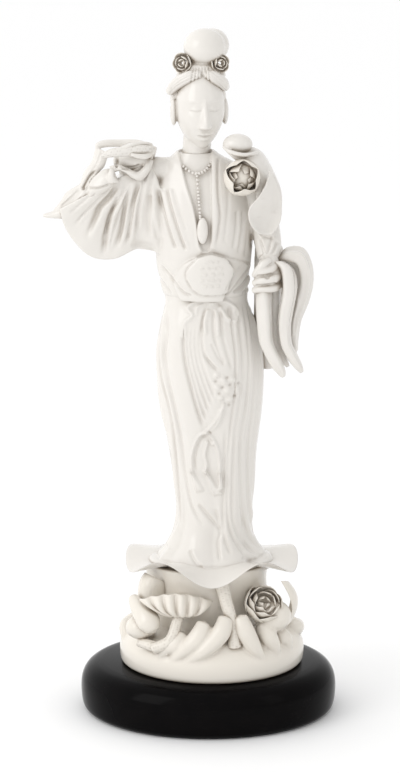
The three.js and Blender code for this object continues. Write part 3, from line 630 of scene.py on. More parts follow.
def upper_robe():
    bm = bmesh.new()
    waist = [(WAIST - 4, -2, 0, 26, 20), (WAIST - 0.5, -2.2, 0, 30.5, 23.4)]
    lofted(bm, waist + ROBE[13:], 140, 90, chest_folds)
    raised_sleeve(bm)
    limb(bm, [(-20, 0, 397), (-33, 0, 399), (-48, -1, 400), (-62, -2, 398)], [12, 9.5, 9, 6], 40, 40)
    # The lowered arm inside its sleeve, with the cuff's folds above the hand.
    limb(bm, [(24, -1, 395), (34, -2, 378), (40, -5, 360), (42.5, -11, 346), (42, -16, 338)], [12, 12.5, 10.5, 9.5, 7.5], 40, 40)
    # The crossed sash in front of the waist.
    sheet(bm, [
        [(-22, -19.5, 330), (-6, -27.5, 341), (12, -25, 339)], [(-25, -19, 320), (-6, -28, 327), (17, -23.5, 329)],
        [(-20, -20, 308), (-4, -26.4, 308), (10, -24, 308)],
    ], 3.4)
    clay = fused("upper robe", bm, 0.7, 4)
    front = clay.normals[:, 1] < 0.25
    # The open neck is a step down to the chest; the two edges of the robe stand up beside it.
    x, z = clay.points[:, 0], clay.points[:, 2]
    left = np.interp(z, [p[1] for p in NECK_LEFT[::-1]], [p[0] for p in NECK_LEFT[::-1]])
    right = np.interp(z, [p[1] for p in LAPEL_INNER[::-1]], [p[0] for p in LAPEL_INNER[::-1]])
    inside = blend(-0.5, 0.5, x - left) * blend(-0.5, 0.5, right - x) * blend(343, 345, z)
    clay.relief -= 2.0 * inside * front
    clay.line([(px - 0.9, pz) for px, pz in NECK_LEFT], 1.1, -0.6, taper=0.05)
    clay.line(LAPEL_OUTER, 0.8, 1.0)
    clay.line(between(LAPEL_INNER, LAPEL_OUTER + LAPEL_OUTER[-1:], 0.5), 2.0, -0.7)
    for path in CHEST_FOLDS:
        clay.line(path, 1.1, 1.4, lip=0.6)
    clay.line([(-42, 384), (-40, 366), (-36, 350)], 1.6, 0.8, lip=0.3)
    clay.line([(-26, 389), (-21.5, 374), (-15.5, 358)], 0.9, 0.5)
    clay.line([(13.8, 392), (13.5, 372), (11, 349)], 1.3, 0.45)
    clay.line([(20, 373), (19.6, 360), (17.2, 345)], 1.2, 0.7, lip=0.3)
    clay.line([(24.2, 372), (23.6, 358), (21, 341)], 1.2, 0.6)
    clay.line([(28.6, 366), (27.6, 352), (26, 338)], 1.3, 0.6)
    # Sleeve folds fan out from the mouth, with the hollow of each pleat beside its crest.
    for path, width, depth in SLEEVE_FOLDS:
        clay.line(path, width, depth, lip=0.45 * depth, taper=0.2)
    clay.line([(-56, 345), (-49, 347), (-42, 345), (-37, 340)], 3.2, 2.0, taper=0.3)
    # The lowered sleeve: creases that run round the forearm.
    for path in ([(36, 352), (39, 344), (41, 338)], [(45.5, 354), (43.4, 347), (41.5, 340)], [(48.6, 350), (46, 344), (43, 340)],
                 [(30, 372), (37, 362), (44, 359)], [(31, 363), (38, 355), (46, 353)]):
        clay.line(path, 1.0, 1.1, lip=0.6)
    # Creases of the sash.
    clay.line([(-34.8, 332.7), (-26.9, 324.5), (-18.3, 315), (-12, 312.6)], 1.0, 1.2, lip=0.5)
    clay.line([(-37, 322.7), (-31.6, 317.7), (-26.9, 311.8)], 1.0, 1.0)
    clay.line([(33.4, 331), (25.5, 319), (17.5, 313.4)], 1.1, 1.3, lip=0.5)
    clay.line([(34, 322), (29.4, 316), (24, 311.6)], 1.0, 0.9)
    # The back is guessed: a yoke's edge from shoulder to shoulder and folds that fall from it.
    behind = clay.normals[:, 1] > -0.1
    clay.line([(-30, 399), (-20, 388), (-4, 383), (14, 388), (26, 397)], 1.3, 1.2, lip=0.7, side=behind)
    for k in range(7):
        f = k / 3 - 1
        clay.line([(24 * f - 4, 384 + 6 * abs(f)), (29 * f - 3, 360), (24 * f - 3, 316)], 1.5, 1.1, lip=0.5, side=behind)
    for path, width, depth in SLEEVE_FOLDS[:6]:
        clay.line([(px + 1.5, pz - 1) for px, pz in path], 1.2 * width, 0.6 * depth, lip=0.4, side=behind)
    clay.press()
    # The plaque stands up from the sash; rows of shallow strokes stand for its relief.
    plaque = clay.within(PLAQUE)
    clay.relief += 0.9 * plaque
    clay.line(PLAQUE + PLAQUE[:1], 0.75, 0.7, taper=0)
    clay.line([(23.4, 333.6), (17.4, 326), (11.4, 316.4)], 0.7, 0.8, lip=-0.5)
    for row, (level, first, last) in enumerate(PLAQUE_ROWS):
        count = 3 + row % 2
        for k in range(count):
            start = first + (last - first) * (k + 0.12) / count
            end = first + (last - first) * (k + 0.86) / count
            clay.line([(start, level + 0.5 * (k % 2)), (end, level - 0.4 * (k % 2))], 0.62, -0.9, taper=0.1)
    clay.press()
    clay.smooth(1)
    return finished("upper_robe", clay.mesh, keep=0.5)


upper_robe()


# %% The mouth of the raised sleeve
def sleeve_mouth():
    bm = bmesh.new()
    # The cuff behind the hand, from its top corner down to where it splits in two leaves.
    sheet(bm, [
        [(-80, -1, 416.4), (-76.6, -5, 414.5), (-71, -6, 412)], [(-83.4, -2, 405), (-79.5, -8, 404), (-74, -8, 403)],
        [(-88.6, -4, 398), (-84, -10, 398.6), (-78, -9, 398.6)], [(-91, -6, 390.2), (-89, -10, 389.2), (-85, -9, 388.6)],
        [(-94, -7, 387), (-92, -10, 385.4), (-89.5, -9, 384.4)],
    ], 2.2, 16, 30)
    # The outer leaf and the longer inner leaf, whose tip points sideways.
    sheet(bm, [
        [(-89, -6, 391), (-88, -9, 389), (-87, -8, 387)], [(-100.9, -6, 384.3), (-97.3, -10, 382.6), (-92.3, -9, 384.4)],
        [(-105.4, -7, 377.4), (-103, -10, 376.6), (-99.6, -9, 377)], [(-110.6, -8, 371.6), (-109.2, -9.5, 371), (-107.6, -9, 371.6)],
    ], 1.8, 12, 30)
    sheet(bm, [
        [(-88, -9, 390), (-87, -13, 385), (-86, -11, 378)], [(-95.9, -8, 381.4), (-94.6, -13, 376.6), (-93, -10, 370)],
        [(-103.8, -7, 374.6), (-103, -12.5, 371), (-101, -9, 365.6)], [(-110.4, -7, 370.6), (-110.2, -10.5, 368.4), (-108.8, -9, 365.8)],
        [(-118, -8, 368.2), (-118.2, -8.6, 367.5), (-118, -8, 366.6)],
    ], 2.0, 16, 40)
    # The front rim: a lobe that turns over, a corner folded back, and the lip that runs up to the wrist.
    sheet(bm, [
        [(-86, -9, 384), (-88, -12, 380), (-90, -10, 375)], [(-84.2, -12, 391.4), (-82, -16, 387), (-80, -13, 381)],
        [(-79.2, -12, 397.6), (-75, -18, 392.4), (-72, -14, 386.6)], [(-73.6, -12, 401), (-70, -17.5, 396), (-67, -14, 391)],
        [(-69.6, -12, 401.4), (-67, -15, 398), (-64, -12, 394)],
    ], 2.4, 18, 40)
    sheet(bm, [
        [(-69.6, -17, 402.4), (-68.6, -18, 402.8), (-67.6, -17, 402.4)], [(-71.6, -18, 397.6), (-68.6, -20.5, 397.8), (-65.6, -18, 397.4)],
        [(-73.4, -15, 392.6), (-68.4, -19.5, 392), (-62.8, -16, 392.6)],
    ], 1.8, 14, 20)
    sheet(bm, [
        [(-70.6, -14, 403), (-69, -17, 401.6), (-67, -14.5, 399.4)], [(-64.2, -14, 404.4), (-63.4, -17.5, 402.4), (-61.5, -14, 400.4)],
        [(-57.6, -14, 402), (-56.6, -17.5, 399.6), (-55.4, -14, 396.4)], [(-50.8, -14, 399.4), (-49.6, -17.5, 397), (-48, -14, 393.6)],
        [(-46, -13, 403), (-44, -16.5, 402), (-42, -13, 400.4)], [(-43.6, -11, 409), (-41.6, -13.5, 408.6), (-39.4, -11, 407.6)],
    ], 2.2, 14, 50)
    # The rolled top edge behind the stem, and the wrist inside.
    limb(bm, [(-80, -3, 416.2), (-74, -2, 418.2), (-62, -1, 418.4), (-50, -2, 417.4), (-40, -4, 411)], [2.2, 2.8, 2.8, 3.6, 6])
    limb(bm, [(-66, -3, 406), (-58, -6, 406.4), (-50, -8, 407), (-44, -9, 411)], [5, 6.4, 6.4, 5.5], 32, 30)
    clay = fused("sleeve mouth", bm, 0.5, 3)
    clay.dab((-61.8, 397), (6.5, 4), -3.4, -22)
    clay.dab((-65.2, 406), (1.5, 5), -2.6)
    clay.line([(-62, 402.8), (-57, 402.2), (-51.6, 402.9), (-49, 405)], 0.8, 1.6)
    clay.line([(-79, 400.6), (-84.6, 396.4), (-88.4, 390), (-89.6, 386)], 1.1, 2.4, taper=0.2)
    clay.line([(-85.4, 388.6), (-81, 388.4), (-77, 388.8), (-70, 391.4)], 0.8, 1.2, lip=0.5)
    for path in ([(-76, 414), (-80, 404), (-85, 397)], [(-92, 386.6), (-98, 381), (-105, 374.6)], [(-90, 382), (-97, 374.4), (-106, 369)],
                 [(-84.6, 386), (-88, 381), (-90, 376)], [(-80, 385), (-84, 380), (-88, 374)]):
        clay.line(path, 0.7, 0.6)
    clay.press()
    clay.smooth(1)
    return finished("sleeve_mouth", clay.mesh, keep=0.6)


sleeve_mouth()


# %% Prickly lotus stems
def prickles(angle, s):
    """Rows of tiny pits, as a lotus stem has."""
    row = s * 14
    pit = math.cos(5 * angle + math.pi * (int(row) % 2)) * math.cos(2 * math.pi * (row - 0.5))
    return -0.9 * max(pit - 0.45, 0)


def raised_hand():
    bm = bmesh.new()
    limb(bm, [(-75.5, -18.5, 411.2), (-68.3, -19.6, 413.6), (-58, -19.6, 414.8), (-48, -18, 415.6), (-41.5, -15.5, 415.4)],
         [1.8, 3.2, 3.7, 3.6, 3], 48, 70, relief=prickles)
    piece("held_stem", bm)
    bm = bmesh.new()
    # The palm is behind the stem. The fingers reach over it, with the thumb under.
    ball(bm, (-44, -9.5, 413.6), (5.6, 7.5, 5.4))
    limb(bm, [(-43, -8, 412), (-47, -6, 408), (-54, -4, 405)], [5, 5.4, 6])
    for k in range(3):
        knuckle = (-46 - 3 * k, -14.5, 419.2 - 0.5 * k)
        limb(bm, [(-41, -10 - k, 417.6 - 1.6 * k), knuckle, (-54 - 2.6 * k, -19.5, 418.8 - 0.6 * k), (-60 - 2.4 * k, -21.5, 416.6 - 0.5 * k)],
             [2.1, 2.0, 1.7, 1.1], 20, 30)
    limb(bm, [(-41, -14, 413), (-44, -19.5, 411.4), (-50, -22, 411.8), (-55, -22.6, 413.2)], [2.2, 2.2, 1.8, 1.2], 20, 30)
    clay = fused("right hand", bm, 0.4)
    finished("right_hand", clay.mesh, keep=0.7)


raised_hand()


# %% The lowered hand and the scarf
def scarf():
    bm = bmesh.new()

    def ribs(count, depth, phase=0.0):
        return lambda u, t: depth * math.cos(count * math.pi * u + phase) * min(1, 5 * t, 4 * (1 - t))
    # The wide loop that comes out behind the fist and hangs down again.
    sheet(bm, [
        [(47, -8, 334), (49, -14, 337), (51.5, -8, 339)], [(53.8, -6, 333.4), (55.4, -16, 338.6), (56.7, -6, 343.8)],
        [(60.6, -6, 330), (64.4, -17, 337.8), (67.4, -4, 342.6)], [(62.8, -7, 324.5), (68.6, -17, 328.6), (73.2, -4, 331.6)],
        [(62.8, -8, 314.3), (68.6, -17, 316.2), (74, -5, 318.2)], [(60.8, -9, 302.7), (65.8, -16, 304.2), (71, -7, 305.3)],
        [(58.6, -9, 291), (62, -15, 291.8), (65.8, -8, 292.4)], [(58, -9, 281), (60.8, -14.5, 280.6), (64, -8, 279)],
        [(60.6, -10, 270.6), (62.2, -12.4, 269.4), (63.8, -10, 269.6)],
    ], 2.4, 28, 70, ribs(3, 0.75))
    # The middle ribbon falls over the first in a long S.
    sheet(bm, [
        [(44, -18, 335), (48, -25, 337), (53, -17, 336)], [(49.6, -21, 331), (55, -28.5, 333), (60, -17, 330)],
        [(51.8, -23, 322), (57, -30, 322.4), (62.6, -19, 321.6)], [(51.6, -23, 312), (56.8, -30, 312.6), (62, -20, 312.4)],
        [(50, -22, 301), (55, -28.5, 301.4), (60, -19, 301)], [(49.4, -21, 290.5), (53.8, -27, 290.6), (58.4, -18.5, 289.6)],
        [(51.2, -20, 277.6), (55, -26, 277.6), (59, -18.5, 278)], [(54.8, -20, 268.4), (58.8, -25, 269.4), (62.6, -19, 269.6)],
        [(61, -20, 260), (63.8, -23.5, 261.4), (66.4, -19.5, 261.8)], [(66.2, -20.5, 255.4), (67, -21.5, 256), (67.8, -20.5, 256.4)],
    ], 2.2, 24, 80, ribs(2.5, 0.55, 0.6))
    # The strip behind, seen between the two.
    sheet(bm, [
        [(43.8, -14, 316), (47.4, -18, 316), (51, -13, 316)], [(44.6, -14, 300.5), (47.6, -18, 300.5), (50.4, -13, 300.5)],
        [(45.2, -14, 287), (47.8, -17.5, 287), (50.4, -13, 287)], [(45.6, -14, 276), (48.4, -17.5, 276), (51.6, -13, 276)],
        [(50.2, -14, 266), (53, -17, 266), (55.4, -13.5, 266.6)], [(56, -14.5, 258.6), (57, -15.6, 258.8), (58, -14.5, 259.4)],
    ], 2.0, 18, 50, ribs(2, 0.4))
    # The front ribbon hangs straight from the fist and turns aside at its end.
    sheet(bm, [
        [(33.8, -22, 317), (39, -28.5, 317), (44.6, -22, 317)], [(34, -22.5, 303), (39.2, -29.5, 303), (44.8, -22.5, 303)],
        [(34.8, -22.5, 291), (40, -29, 291), (45.4, -22, 290)], [(36.4, -22, 280), (41, -28, 280), (46, -21.5, 281)],
        [(39.4, -22, 271.6), (43.8, -27.5, 273), (48.2, -21.5, 273.6)], [(45, -22, 261), (48.8, -26.5, 263.6), (52.4, -21.6, 265)],
        [(50.2, -22, 255), (52.6, -24.6, 256.6), (54.8, -22, 257.4)], [(53, -22.6, 252.6), (53.8, -23.2, 253), (54.6, -22.6, 253.6)],
    ], 2.2, 24, 70, ribs(2, 0.6, 1.2))
    # The end of the sleeve that hangs behind the ribbons.
    sheet(bm, [
        [(34, 3, 344), (44, -2, 346), (52, 4, 344)], [(34, 6, 315), (45, 1, 315), (56, 6, 315)],
        [(34, 6, 285), (44, 1, 285), (54, 6, 285)], [(35, 6, 256), (43, 2, 254), (50, 7, 256)],
    ], 5, 24, 40, ribs(3, 0.9))
    clay = fused("scarf", bm, 0.55, 2)
    clay.line([(64.6, 320), (63.6, 306), (60.8, 292), (60.6, 281)], 0.7, -0.7)
    clay.press()
    finished("scarf", clay.mesh, keep=0.5)
    bm = bmesh.new()
    # Wrist, back of the hand, the curled fingers and the thumb that closes over them.
    limb(bm, [(42, -13, 345), (42.6, -16, 339), (43, -19, 333)], [7, 6.6, 8], 32, 24)
    ball(bm, (43.6, -20, 327), (9.6, 8, 9.6))
    ball(bm, (41, -23, 334), (6.4, 5.4, 5.4))
    limb(bm, [(48.6, -21, 334), (43.6, -27.6, 331.6), (36.6, -28, 329.6), (33, -24, 326.4)], [3, 3.2, 3, 2.4], 20, 30)
    limb(bm, [(50.6, -22, 327), (45.6, -28.4, 324.8), (38, -29.4, 324), (32, -25.4, 321.4)], [3, 3.3, 3.1, 2.4], 20, 30)
    limb(bm, [(51, -21, 320), (46, -27, 318.2), (38.6, -28.2, 318), (31.4, -25, 316.2)], [2.6, 3, 2.8, 2.2], 20, 30)
    limb(bm, [(43, -26, 338), (39, -29, 336), (34.4, -28, 331), (31.8, -26, 326.6)], [2.6, 2.8, 2.4, 1.8], 20, 30)
    clay = fused("left hand", bm, 0.45, 3)
    clay.line([(34, 327.4), (39, 327.6), (45, 328.8)], 0.8, 0.9)
    clay.dab((41.6, 326.6), (2.6, 1.6), -1.5, 10)
    clay.line([(33, 320.6), (40, 321), (48, 322.4)], 0.8, 0.8)
    clay.press()
    clay.smooth(1)
    finished("left_hand", clay.mesh, keep=0.7)


scarf()


# %% The leaf and the bud on her shoulder
def shoulder_lotus():
    bm = bmesh.new()
    # The leaf's back sweeps from the neck over the shoulder and down the arm.
    sheet(bm, [
        [(9.6, -18, 419.6), (10.4, -20, 418), (11.4, -18, 416)], [(16, -14, 417.6), (16.4, -23, 414), (17.6, -22, 410.6)],
        [(24, -12, 417.2), (24.4, -26, 411), (24.6, -24, 405)], [(31.6, -12, 416.6), (31, -27, 409), (29, -25, 400)],
        [(38, -10, 412.6), (35.6, -27, 403.6), (31, -25, 394)], [(43.2, -8, 404.6), (39.4, -25, 396), (33, -25, 387)],
        [(47, -8, 396.6), (42, -23, 389), (33.6, -24, 381)], [(51, -9, 387), (44, -21, 381), (33, -23, 376)],
        [(52, -11, 377), (44, -20, 371), (33, -22, 368)], [(50, -14, 366), (43, -19, 362), (36, -21, 362)],
    ], 2.2, 20, 60)
    # Its lower end opens as a cup with a thin rim that stands forward.
    sheet(bm, [
        [(42.8, -31, 402.6), (44, -29, 401), (45.4, -27, 399.4)], [(40, -33.5, 393.8), (44.4, -29, 392.6), (48, -24, 393)],
        [(35, -36, 384.6), (43, -28, 383.4), (50.8, -22, 385)], [(28.8, -37, 377.6), (40, -27, 376), (51.8, -22, 377)],
        [(27.8, -36.5, 370.6), (39.6, -26, 369), (51.6, -24, 369)], [(30, -36, 364), (39.8, -27, 361.6), (49.4, -27, 362.6)],
        [(34.6, -35, 358.8), (40, -30, 356.6), (44.8, -30, 357.2)],
    ], 1.8, 24, 50)
    # Its upper end closes over in a smooth dome above a curled lip.
    ball(bm, (20.4, -19, 419.6), (10.6, 9, 7.6), 40, 28)
    limb(bm, [(10.2, -23, 418.2), (15, -28.4, 415.6), (23.6, -29.6, 413.4), (31, -26, 413.8), (35, -19, 414.4)], [1.1, 1.5, 1.7, 1.5, 1.2], 20, 40)
    clay = fused("shoulder leaf", bm, 0.55, 3)
    clay.line([(44, 400), (46, 390), (47, 380), (45, 371)], 2.6, 0.8)
    clay.line([(38, 384), (35, 377), (34.6, 369)], 2.2, -0.5)
    for path in ([(26, 414), (36, 407), (43, 398)], [(26, 410.6), (33, 404), (38, 396), (41, 388)]):
        clay.line(path, 1.0, 0.35)
    clay.press()
    finished("shoulder_leaf", clay.mesh, keep=0.5)
    bm = bmesh.new()
    centre, axis = Vector((23.4, -30, 397.4)), (0.08, -0.99, 0.02)
    ball(bm, centre + Vector((0, 3, 0)), (9.6, 8, 9.6), 32, 20)
    # Five outer petals, with the turn that each one points from and how far it reaches over.
    for turn, reach, wide in ((112, 2.5, 1.0), (187, 2.56, 1.05), (262, 2.36, 1.0), (325, 2.12, 0.9), (25, 2.12, 0.9)):
        petal(bm, centre, axis, math.radians(turn), 12.4, wide, reach, 1.2)
    bloom(bm, centre, axis, [(4.6, 3, 1.0, 2.7, 0), (7.2, 4, 0.8, 2.62, 0), (9.6, 5, 0.7, 2.5, 0)], 1.0)
    piece("shoulder_bud", bm, BISCUIT, levels=1)


shoulder_lotus()

# %% [markdown]
# ## Head, hair and flowers
# The face is a general one, drawn on the usual proportions: eyes at half height, the nose's foot halfway
# from brow to chin, the mouth a third below it.

# %% The head
HEAD_CENTRE = Vector((-6.2, -3, 444))
HEAD_TURN = 0.21


def head():
    bm = bmesh.new()
    turn = Matrix.Rotation(HEAD_TURN, 3, "Z")

    def skull(angle, t):
        level = math.pi * (t - 0.5)
        x, y, z = math.cos(angle) * math.cos(level), math.sin(angle) * math.cos(level), math.sin(level)
        low = max(-z, 0)
        jaw = 1 - 0.3 * low**2.2
        chin = 1 + 0.05 * low if y < 0 else 1 - 0.25 * low
        return HEAD_CENTRE + turn @ Vector((x * 17.4 * jaw, y * 19.5 * chin, z * 29.5))
    skin(bm, 72, 48, skull)
    for s in (-1, 1):
        ball(bm, HEAD_CENTRE + turn @ Vector((s * 18.6, 2, -3)), (2.6, 4.4, 9.5))
    lofted(bm, [(396, -9.5, 0, 11, 11), (410, -9, 0, 10, 10.4), (426, -7.5, 0, 10.5, 11.5)], 60, 30)
    clay = fused("head", bm, 0.42, 3)
    local = (clay.points - np.array(HEAD_CENTRE)) @ np.array(turn)
    x, z = np.abs(local[:, 0]), local[:, 2]
    front = (local[:, 1] < -4) & (clay.normals[:, 1] < 0.1)

    def swell(cx, cz, wx, wz, height):
        clay.relief[:] += front * height * np.exp(-(((x - cx) / wx) ** 2) - ((z - cz) / wz) ** 2)
    swell(7, 0.5, 5, 3.6, -2.0)
    swell(6.9, 0.4, 3.6, 2.4, 1.6)
    swell(7, 6, 5.5, 1.3, 0.5)
    clay.press()
    bridge = blend(6, -12, z)
    width = 1.6 + 1.3 * bridge
    clay.relief += front * (0.8 + 4.0 * bridge**1.5) * np.exp(-((x / width) ** 2)) * blend(-14.5, -11.5, z) * (1 - blend(5, 9, z))
    swell(2.9, -12.2, 1.5, 1.6, 1.3)
    swell(0, -20.6, 3.4, 1.6, 1.5)
    swell(1.5, -17.0, 2.6, 1.3, 1.3)
    swell(0, -26.5, 4, 2.4, 1.0)
    clay.press()
    mouth = -18.7 + 0.02 * x**2
    clay.relief -= front * 0.8 * np.exp(-(((z - mouth) / 0.45) ** 2)) * (1 - blend(3.6, 5.4, x))
    lid = -1.2 + 0.05 * (x - 7) ** 2
    clay.relief -= front * 0.55 * np.exp(-(((z - lid) / 0.4) ** 2)) * (1 - blend(3.2, 4.6, np.abs(x - 6.9)))
    clay.press()
    clay.smooth(1)
    return finished("head", clay.mesh, keep=0.5)


head()


# %% The hair
def hair():
    bm = bmesh.new()
    ball(bm, (-7.5, 6, 450), (20, 17.5, 24), 60, 40)
    ball(bm, (-5.5, 0, 467), (17.5, 15.5, 12), 60, 40)
    for path in ([(-6, -14.5, 469), (-15, -13, 466), (-23, -8, 461), (-28, -1, 455)],
                 [(-2, -14.5, 469), (4, -13, 466), (9.5, -8, 462), (12, 0, 458)]):
        limb(bm, path, [3.4, 4.6, 4.4, 3])
    ball(bm, (-3, -3, 486.8), (15, 14, 13.2), 60, 40)
    ball(bm, (2.5, 5, 487.5), (12, 12, 12), 60, 40)
    clay = fused("hair", bm, 0.5, 2)
    for k in range(6):
        clay.line([(-11 + 2.2 * k, 474), (-12.5 + 2.6 * k, 462)], 0.5, 0.8)
    for path in ([(-8, 470), (-15, 467), (-23, 462), (-28, 456)], [(0, 470), (5, 466), (10, 461), (13, 457)]):
        for lift in (-2.4, 0, 2.4):
            clay.line([(px, pz + lift) for px, pz in path], 0.6, 0.6)
    clay.press()
    clay.smooth(1)
    finished("hair", clay.mesh, keep=0.5)
    for x, name in ((-19, "left"), (8.5, "right")):
        bm = bmesh.new()
        bloom(bm, (x, -10, 476), (math.copysign(0.45, x), -0.85, 0.1),
              [(2.6, 3, 1.1, 2.4, 0), (4.6, 4, 1.0, 2.0, 0), (6.6, 5, 0.95, 1.7, 0.1)], 0.8)
        piece("hair_rose_" + name, bm, BISCUIT, levels=1)


hair()


# %% The necklace
def necklace():
    bm = bmesh.new()

    def beads(path, count, radius):
        path = [Vector(p) for p in path]
        for k in range(count + 1):
            made = bmesh.ops.create_icosphere(bm, subdivisions=2, radius=radius)
            bmesh.ops.translate(bm, verts=made["verts"], vec=along(path, k / count))
    beads([(-21.5, -7, 407), (-17, -14.5, 402.5), (-9, -19.4, 398.8), (-2, -17, 401.5), (2.5, -10.5, 407)], 14, 1.15)
    beads([(-8.4, -19.2, 399), (-7.6, -22.3, 388), (-6.8, -24.4, 378), (-6, -25.4, 368)], 13, 1.1)
    piece("necklace", bm)
    bm = bmesh.new()
    ball(bm, (-4.4, -25.4, 359), (4, 2.6, 9.5))
    piece("pendant", bm)


necklace()

# %% [markdown]
# ## The lotus leaf and the base
# She stands on a wavy leaf. Below it a rock column rises from a drum of water, with waves, stems, leaves
# and a bud round it.


# %% The leaf under her feet
LEAF_MIDDLE = Vector((2.5, 0, 114))
LEAF_RADIUS = 64
LEAF_WAVES = 5


def lotus_leaf():
    bm = bmesh.new()

    def place(angle, t):
        polar = math.pi * t
        out = 1 - abs(1 - polar / (math.pi / 2))
        swell = -math.cos(LEAF_WAVES * (angle + math.pi / 2))
        front = -math.sin(angle)
        lift = ((5.6 + 3.1 * front) * swell + 1.6 * front) * out**3
        lift += 0.25 * math.cos(20 * angle) * out * (1 - out)
        half = 0.7 * math.sqrt(max(1 - out**8, 0)) + 2.4 * (1 - out)
        return LEAF_MIDDLE + Vector((out * LEAF_RADIUS * math.cos(angle), out * LEAF_RADIUS * math.sin(angle),
                                     lift + (half if t > 0.5 else -half)))
    skin(bm, 140, 52, place)
    piece("lotus_leaf", bm, levels=1)


lotus_leaf()


# %% Drum, waves and column
def base():
    bm = bmesh.new()
    foot = 36.8
    lofted(bm, [(foot, 2.5, 0, 65.5, 65.5), (foot + 3, 2.5, 0, 67.4, 67.4), (50, 2.5, 0, 67.6, 67.6), (58, 2.5, 0, 63.5, 63.5),
                (64, 2.5, 0, 58, 58), (68, 2.5, 0, 49, 49)], 160, 40)
    lofted(bm, [(56, -0.3, 0, 46, 46), (75, -0.3, 0, 43, 43), (95, -0.3, 0, 44, 44), (113, -0.3, 0, 45, 45)], 90, 40,
           lambda angle, z: 1.2 * math.sin(5 * angle + z / 9))

    def at(degrees, radius, z):
        a = math.radians(degrees)
        return (2.5 + radius * math.cos(a), radius * math.sin(a), z)
    waves = [(-128, -112, 70), (-119, -96, 79), (-110, -80, 83), (-54, -69, 83), (-42, -50, 75), (-30, -34, 68)]
    waves += [(a + 12, a - 10, 68 + 4 * math.sin(a)) for a in range(0, 200, 45)]
    for start, end, height in waves:
        part = [start + (end - start) * f for f in (0, 0.45, 0.85, 1)]
        limb(bm, [at(part[0], 64, 50), at(part[1], 63, 60), at(part[2], 60.5, 50 + (height - 50) * 0.7), at(part[3], 56, height)],
             [2.5, 5.5, 7, 5.5], 24, 30)
    ball(bm, (-22, -47, 89), (19, 9, 8))
    ball(bm, (-49, -40, 72), (11, 10, 9))
    ball(bm, (46, -38, 80), (14, 12, 12))
    clay = fused("base", bm, 0.85, 3)
    finished("base", clay.mesh, BISCUIT, keep=0.5)
    bm = bmesh.new()
    limb(bm, [(9, -47, 108), (12, -50, 96), (17, -54, 78), (19, -57, 62)], [5, 4.6, 4.6, 5], 60, 90, relief=prickles)
    limb(bm, [(-20, -50, 90), (-23, -52, 78), (-28, -56, 66), (-40, -54, 60)], [4, 4, 4.4, 4.2], 60, 90, relief=prickles)
    limb(bm, [(-50, -44, 62), (-40, -51, 61), (-28, -56, 58)], [3.6, 4, 3.6], 60, 60, relief=prickles)
    piece("stems", bm, BISCUIT)


base()


# %% Leaves and bud of the base
def base_plants():
    bm = bmesh.new()
    rows = []
    for k in range(13):
        f = k / 12
        y = -44 - 10 * math.sin(math.pi * f) - 4 * f
        ruffle = 1.6 * math.cos(math.pi * k)
        rows.append([(-50 + 53 * f, y + ruffle, 94 + 9 * math.sin(math.pi * f * 0.9) - 3 * f),
                     ((-50 + 53 * f) * 0.8 - 4, y - 5 + ruffle, 90 - 2 * f), (-28 + 18 * f, -52, 84)])
    sheet(bm, rows, 1.8, 14, 70)
    piece("funnel_leaf", bm, BISCUIT, levels=1)
    bm = bmesh.new()
    limb(bm, [(-55, -32, 92), (-50, -40, 86), (-43, -48, 78), (-40, -50, 72)], [3.5, 6.5, 8.5, 5])
    sheet(bm, [[(-52, -24, 86), (-46, -34, 88), (-31, -28, 90)], [(-50, -22, 101), (-43, -32, 102), (-30, -28, 98)],
               [(-46, -22, 108), (-40, -30, 107), (-30, -28, 102)]], 2)
    clay = fused("rolled leaf", bm, 0.5)
    finished("rolled_leaf", clay.mesh, BISCUIT)
    bm = bmesh.new()
    bloom(bm, (40, -44, 91), (0.25, -0.75, 0.6),
          [(4.5, 4, 0.9, 2.6, 0), (8.5, 5, 0.9, 2.3, 0), (11.5, 5, 0.95, 2.1, 0), (13.6, 5, 1.0, 1.9, 0)], 1.1)
    piece("water_bud", bm, BISCUIT, levels=1)
    bm = bmesh.new()
    sheet(bm, [[(52, -38, 106), (57, -32, 104), (55, -20, 100)], [(58, -38, 95), (63, -28, 94), (58, -15, 92)],
               [(60, -36, 84), (64, -25, 84), (60, -12, 84)], [(56, -34, 72), (60, -24, 72), (57, -12, 72)]], 2)
    piece("side_leaf", bm, BISCUIT, levels=1)


base_plants()


# %% The stand
def stand():
    bm = bmesh.new()
    wide, deep = (stand_high.x - stand_low.x) / 2, (stand_high.y - stand_low.y) / 2
    profile = [(0, -6), (4, -1.6), (14, 0), (24, -0.6), (31, -4), (35, -9.5), (stand_high.z, -16)]
    lofted(bm, [(z, 0, 0, wide + inset, deep + inset) for z, inset in profile], 128, 48)
    piece("stand", bm, LACQUER, node="lacquer_stand", slot="black_lacquer")


stand()

# %% [markdown]
# ## Camera, floor and light
# The camera stands about two metres away and looks down a little, as in the photograph.

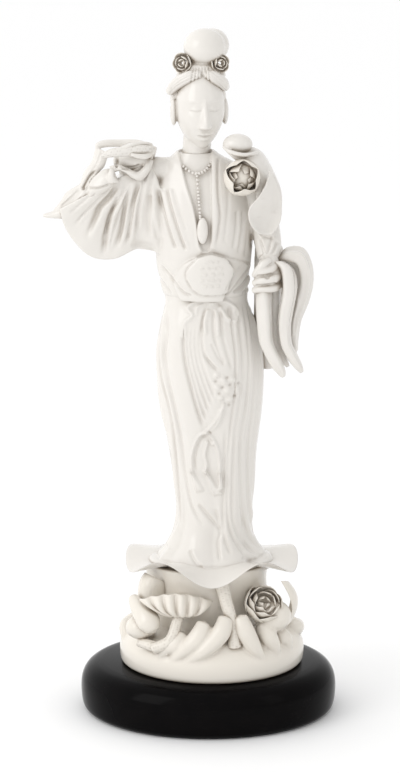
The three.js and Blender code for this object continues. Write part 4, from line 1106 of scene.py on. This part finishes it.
# %% Camera
camera = bpy.data.objects.new("camera", bpy.data.cameras.new("camera"))
bpy.context.scene.collection.objects.link(camera)
bpy.context.scene.camera = camera
camera.location = (-0.0062, -1.950, 0.640)
aim = Vector((-0.0062, 0, 0.2414))
camera.rotation_euler = (aim - camera.location).to_track_quat("-Z", "Y").to_euler()
camera.data.sensor_width = 36
camera.data.lens = 127.8
camera.data.clip_end = 200

# %% Floor
floor_bm = bmesh.new()
bmesh.ops.create_grid(floor_bm, x_segments=1, y_segments=1, size=40)
floor_mesh = bpy.data.meshes.new("floor")
floor_bm.to_mesh(floor_mesh)
floor_bm.free()
floor = bpy.data.objects.new("floor", floor_mesh)
bpy.context.scene.collection.objects.link(floor)
paper, paper_tree, paper_shader = material("white paper")
paper_shader.inputs["Base Color"].default_value = linear("#FCFCFC")
paper_shader.inputs["Roughness"].default_value = 0.9
floor.data.materials.append(paper)

# %% Light
def softbox(name, place, target, size, power):
    lamp = bpy.data.lights.new(name, "AREA")
    lamp.shape = "RECTANGLE"
    lamp.size, lamp.size_y = size
    lamp.energy = power
    made = bpy.data.objects.new(name, lamp)
    bpy.context.scene.collection.objects.link(made)
    made.location = place
    made.rotation_euler = (Vector(target) - Vector(place)).to_track_quat("-Z", "Y").to_euler()


softbox("left softbox", (-1.3, -1.0, 1.1), (0, 0, 0.28), (0.9, 1.3), 7)
softbox("right softbox", (1.4, -0.9, 0.9), (0, 0, 0.28), (0.5, 1.2), 1)
world = bpy.data.worlds.new("studio")
bpy.context.scene.world = world
world.use_nodes = True
sky = world.node_tree
# The room is brighter on the left and behind than on the right and towards the camera.
way = add(sky, "ShaderNodeTexCoord").outputs["Generated"]
side = add(sky, "ShaderNodeVectorMath", {0: way, 1: (-0.24, 0.12, 0.06)}, operation="DOT_PRODUCT")
level = add(sky, "ShaderNodeMath", {0: side.outputs["Value"], 1: 0.98}, operation="ADD")
sky.nodes["Background"].inputs["Color"].default_value = (1, 1, 1, 1)
sky.links.new(level.outputs[0], sky.nodes["Background"].inputs["Strength"])
bpy.context.scene.view_settings.view_transform = "Standard"
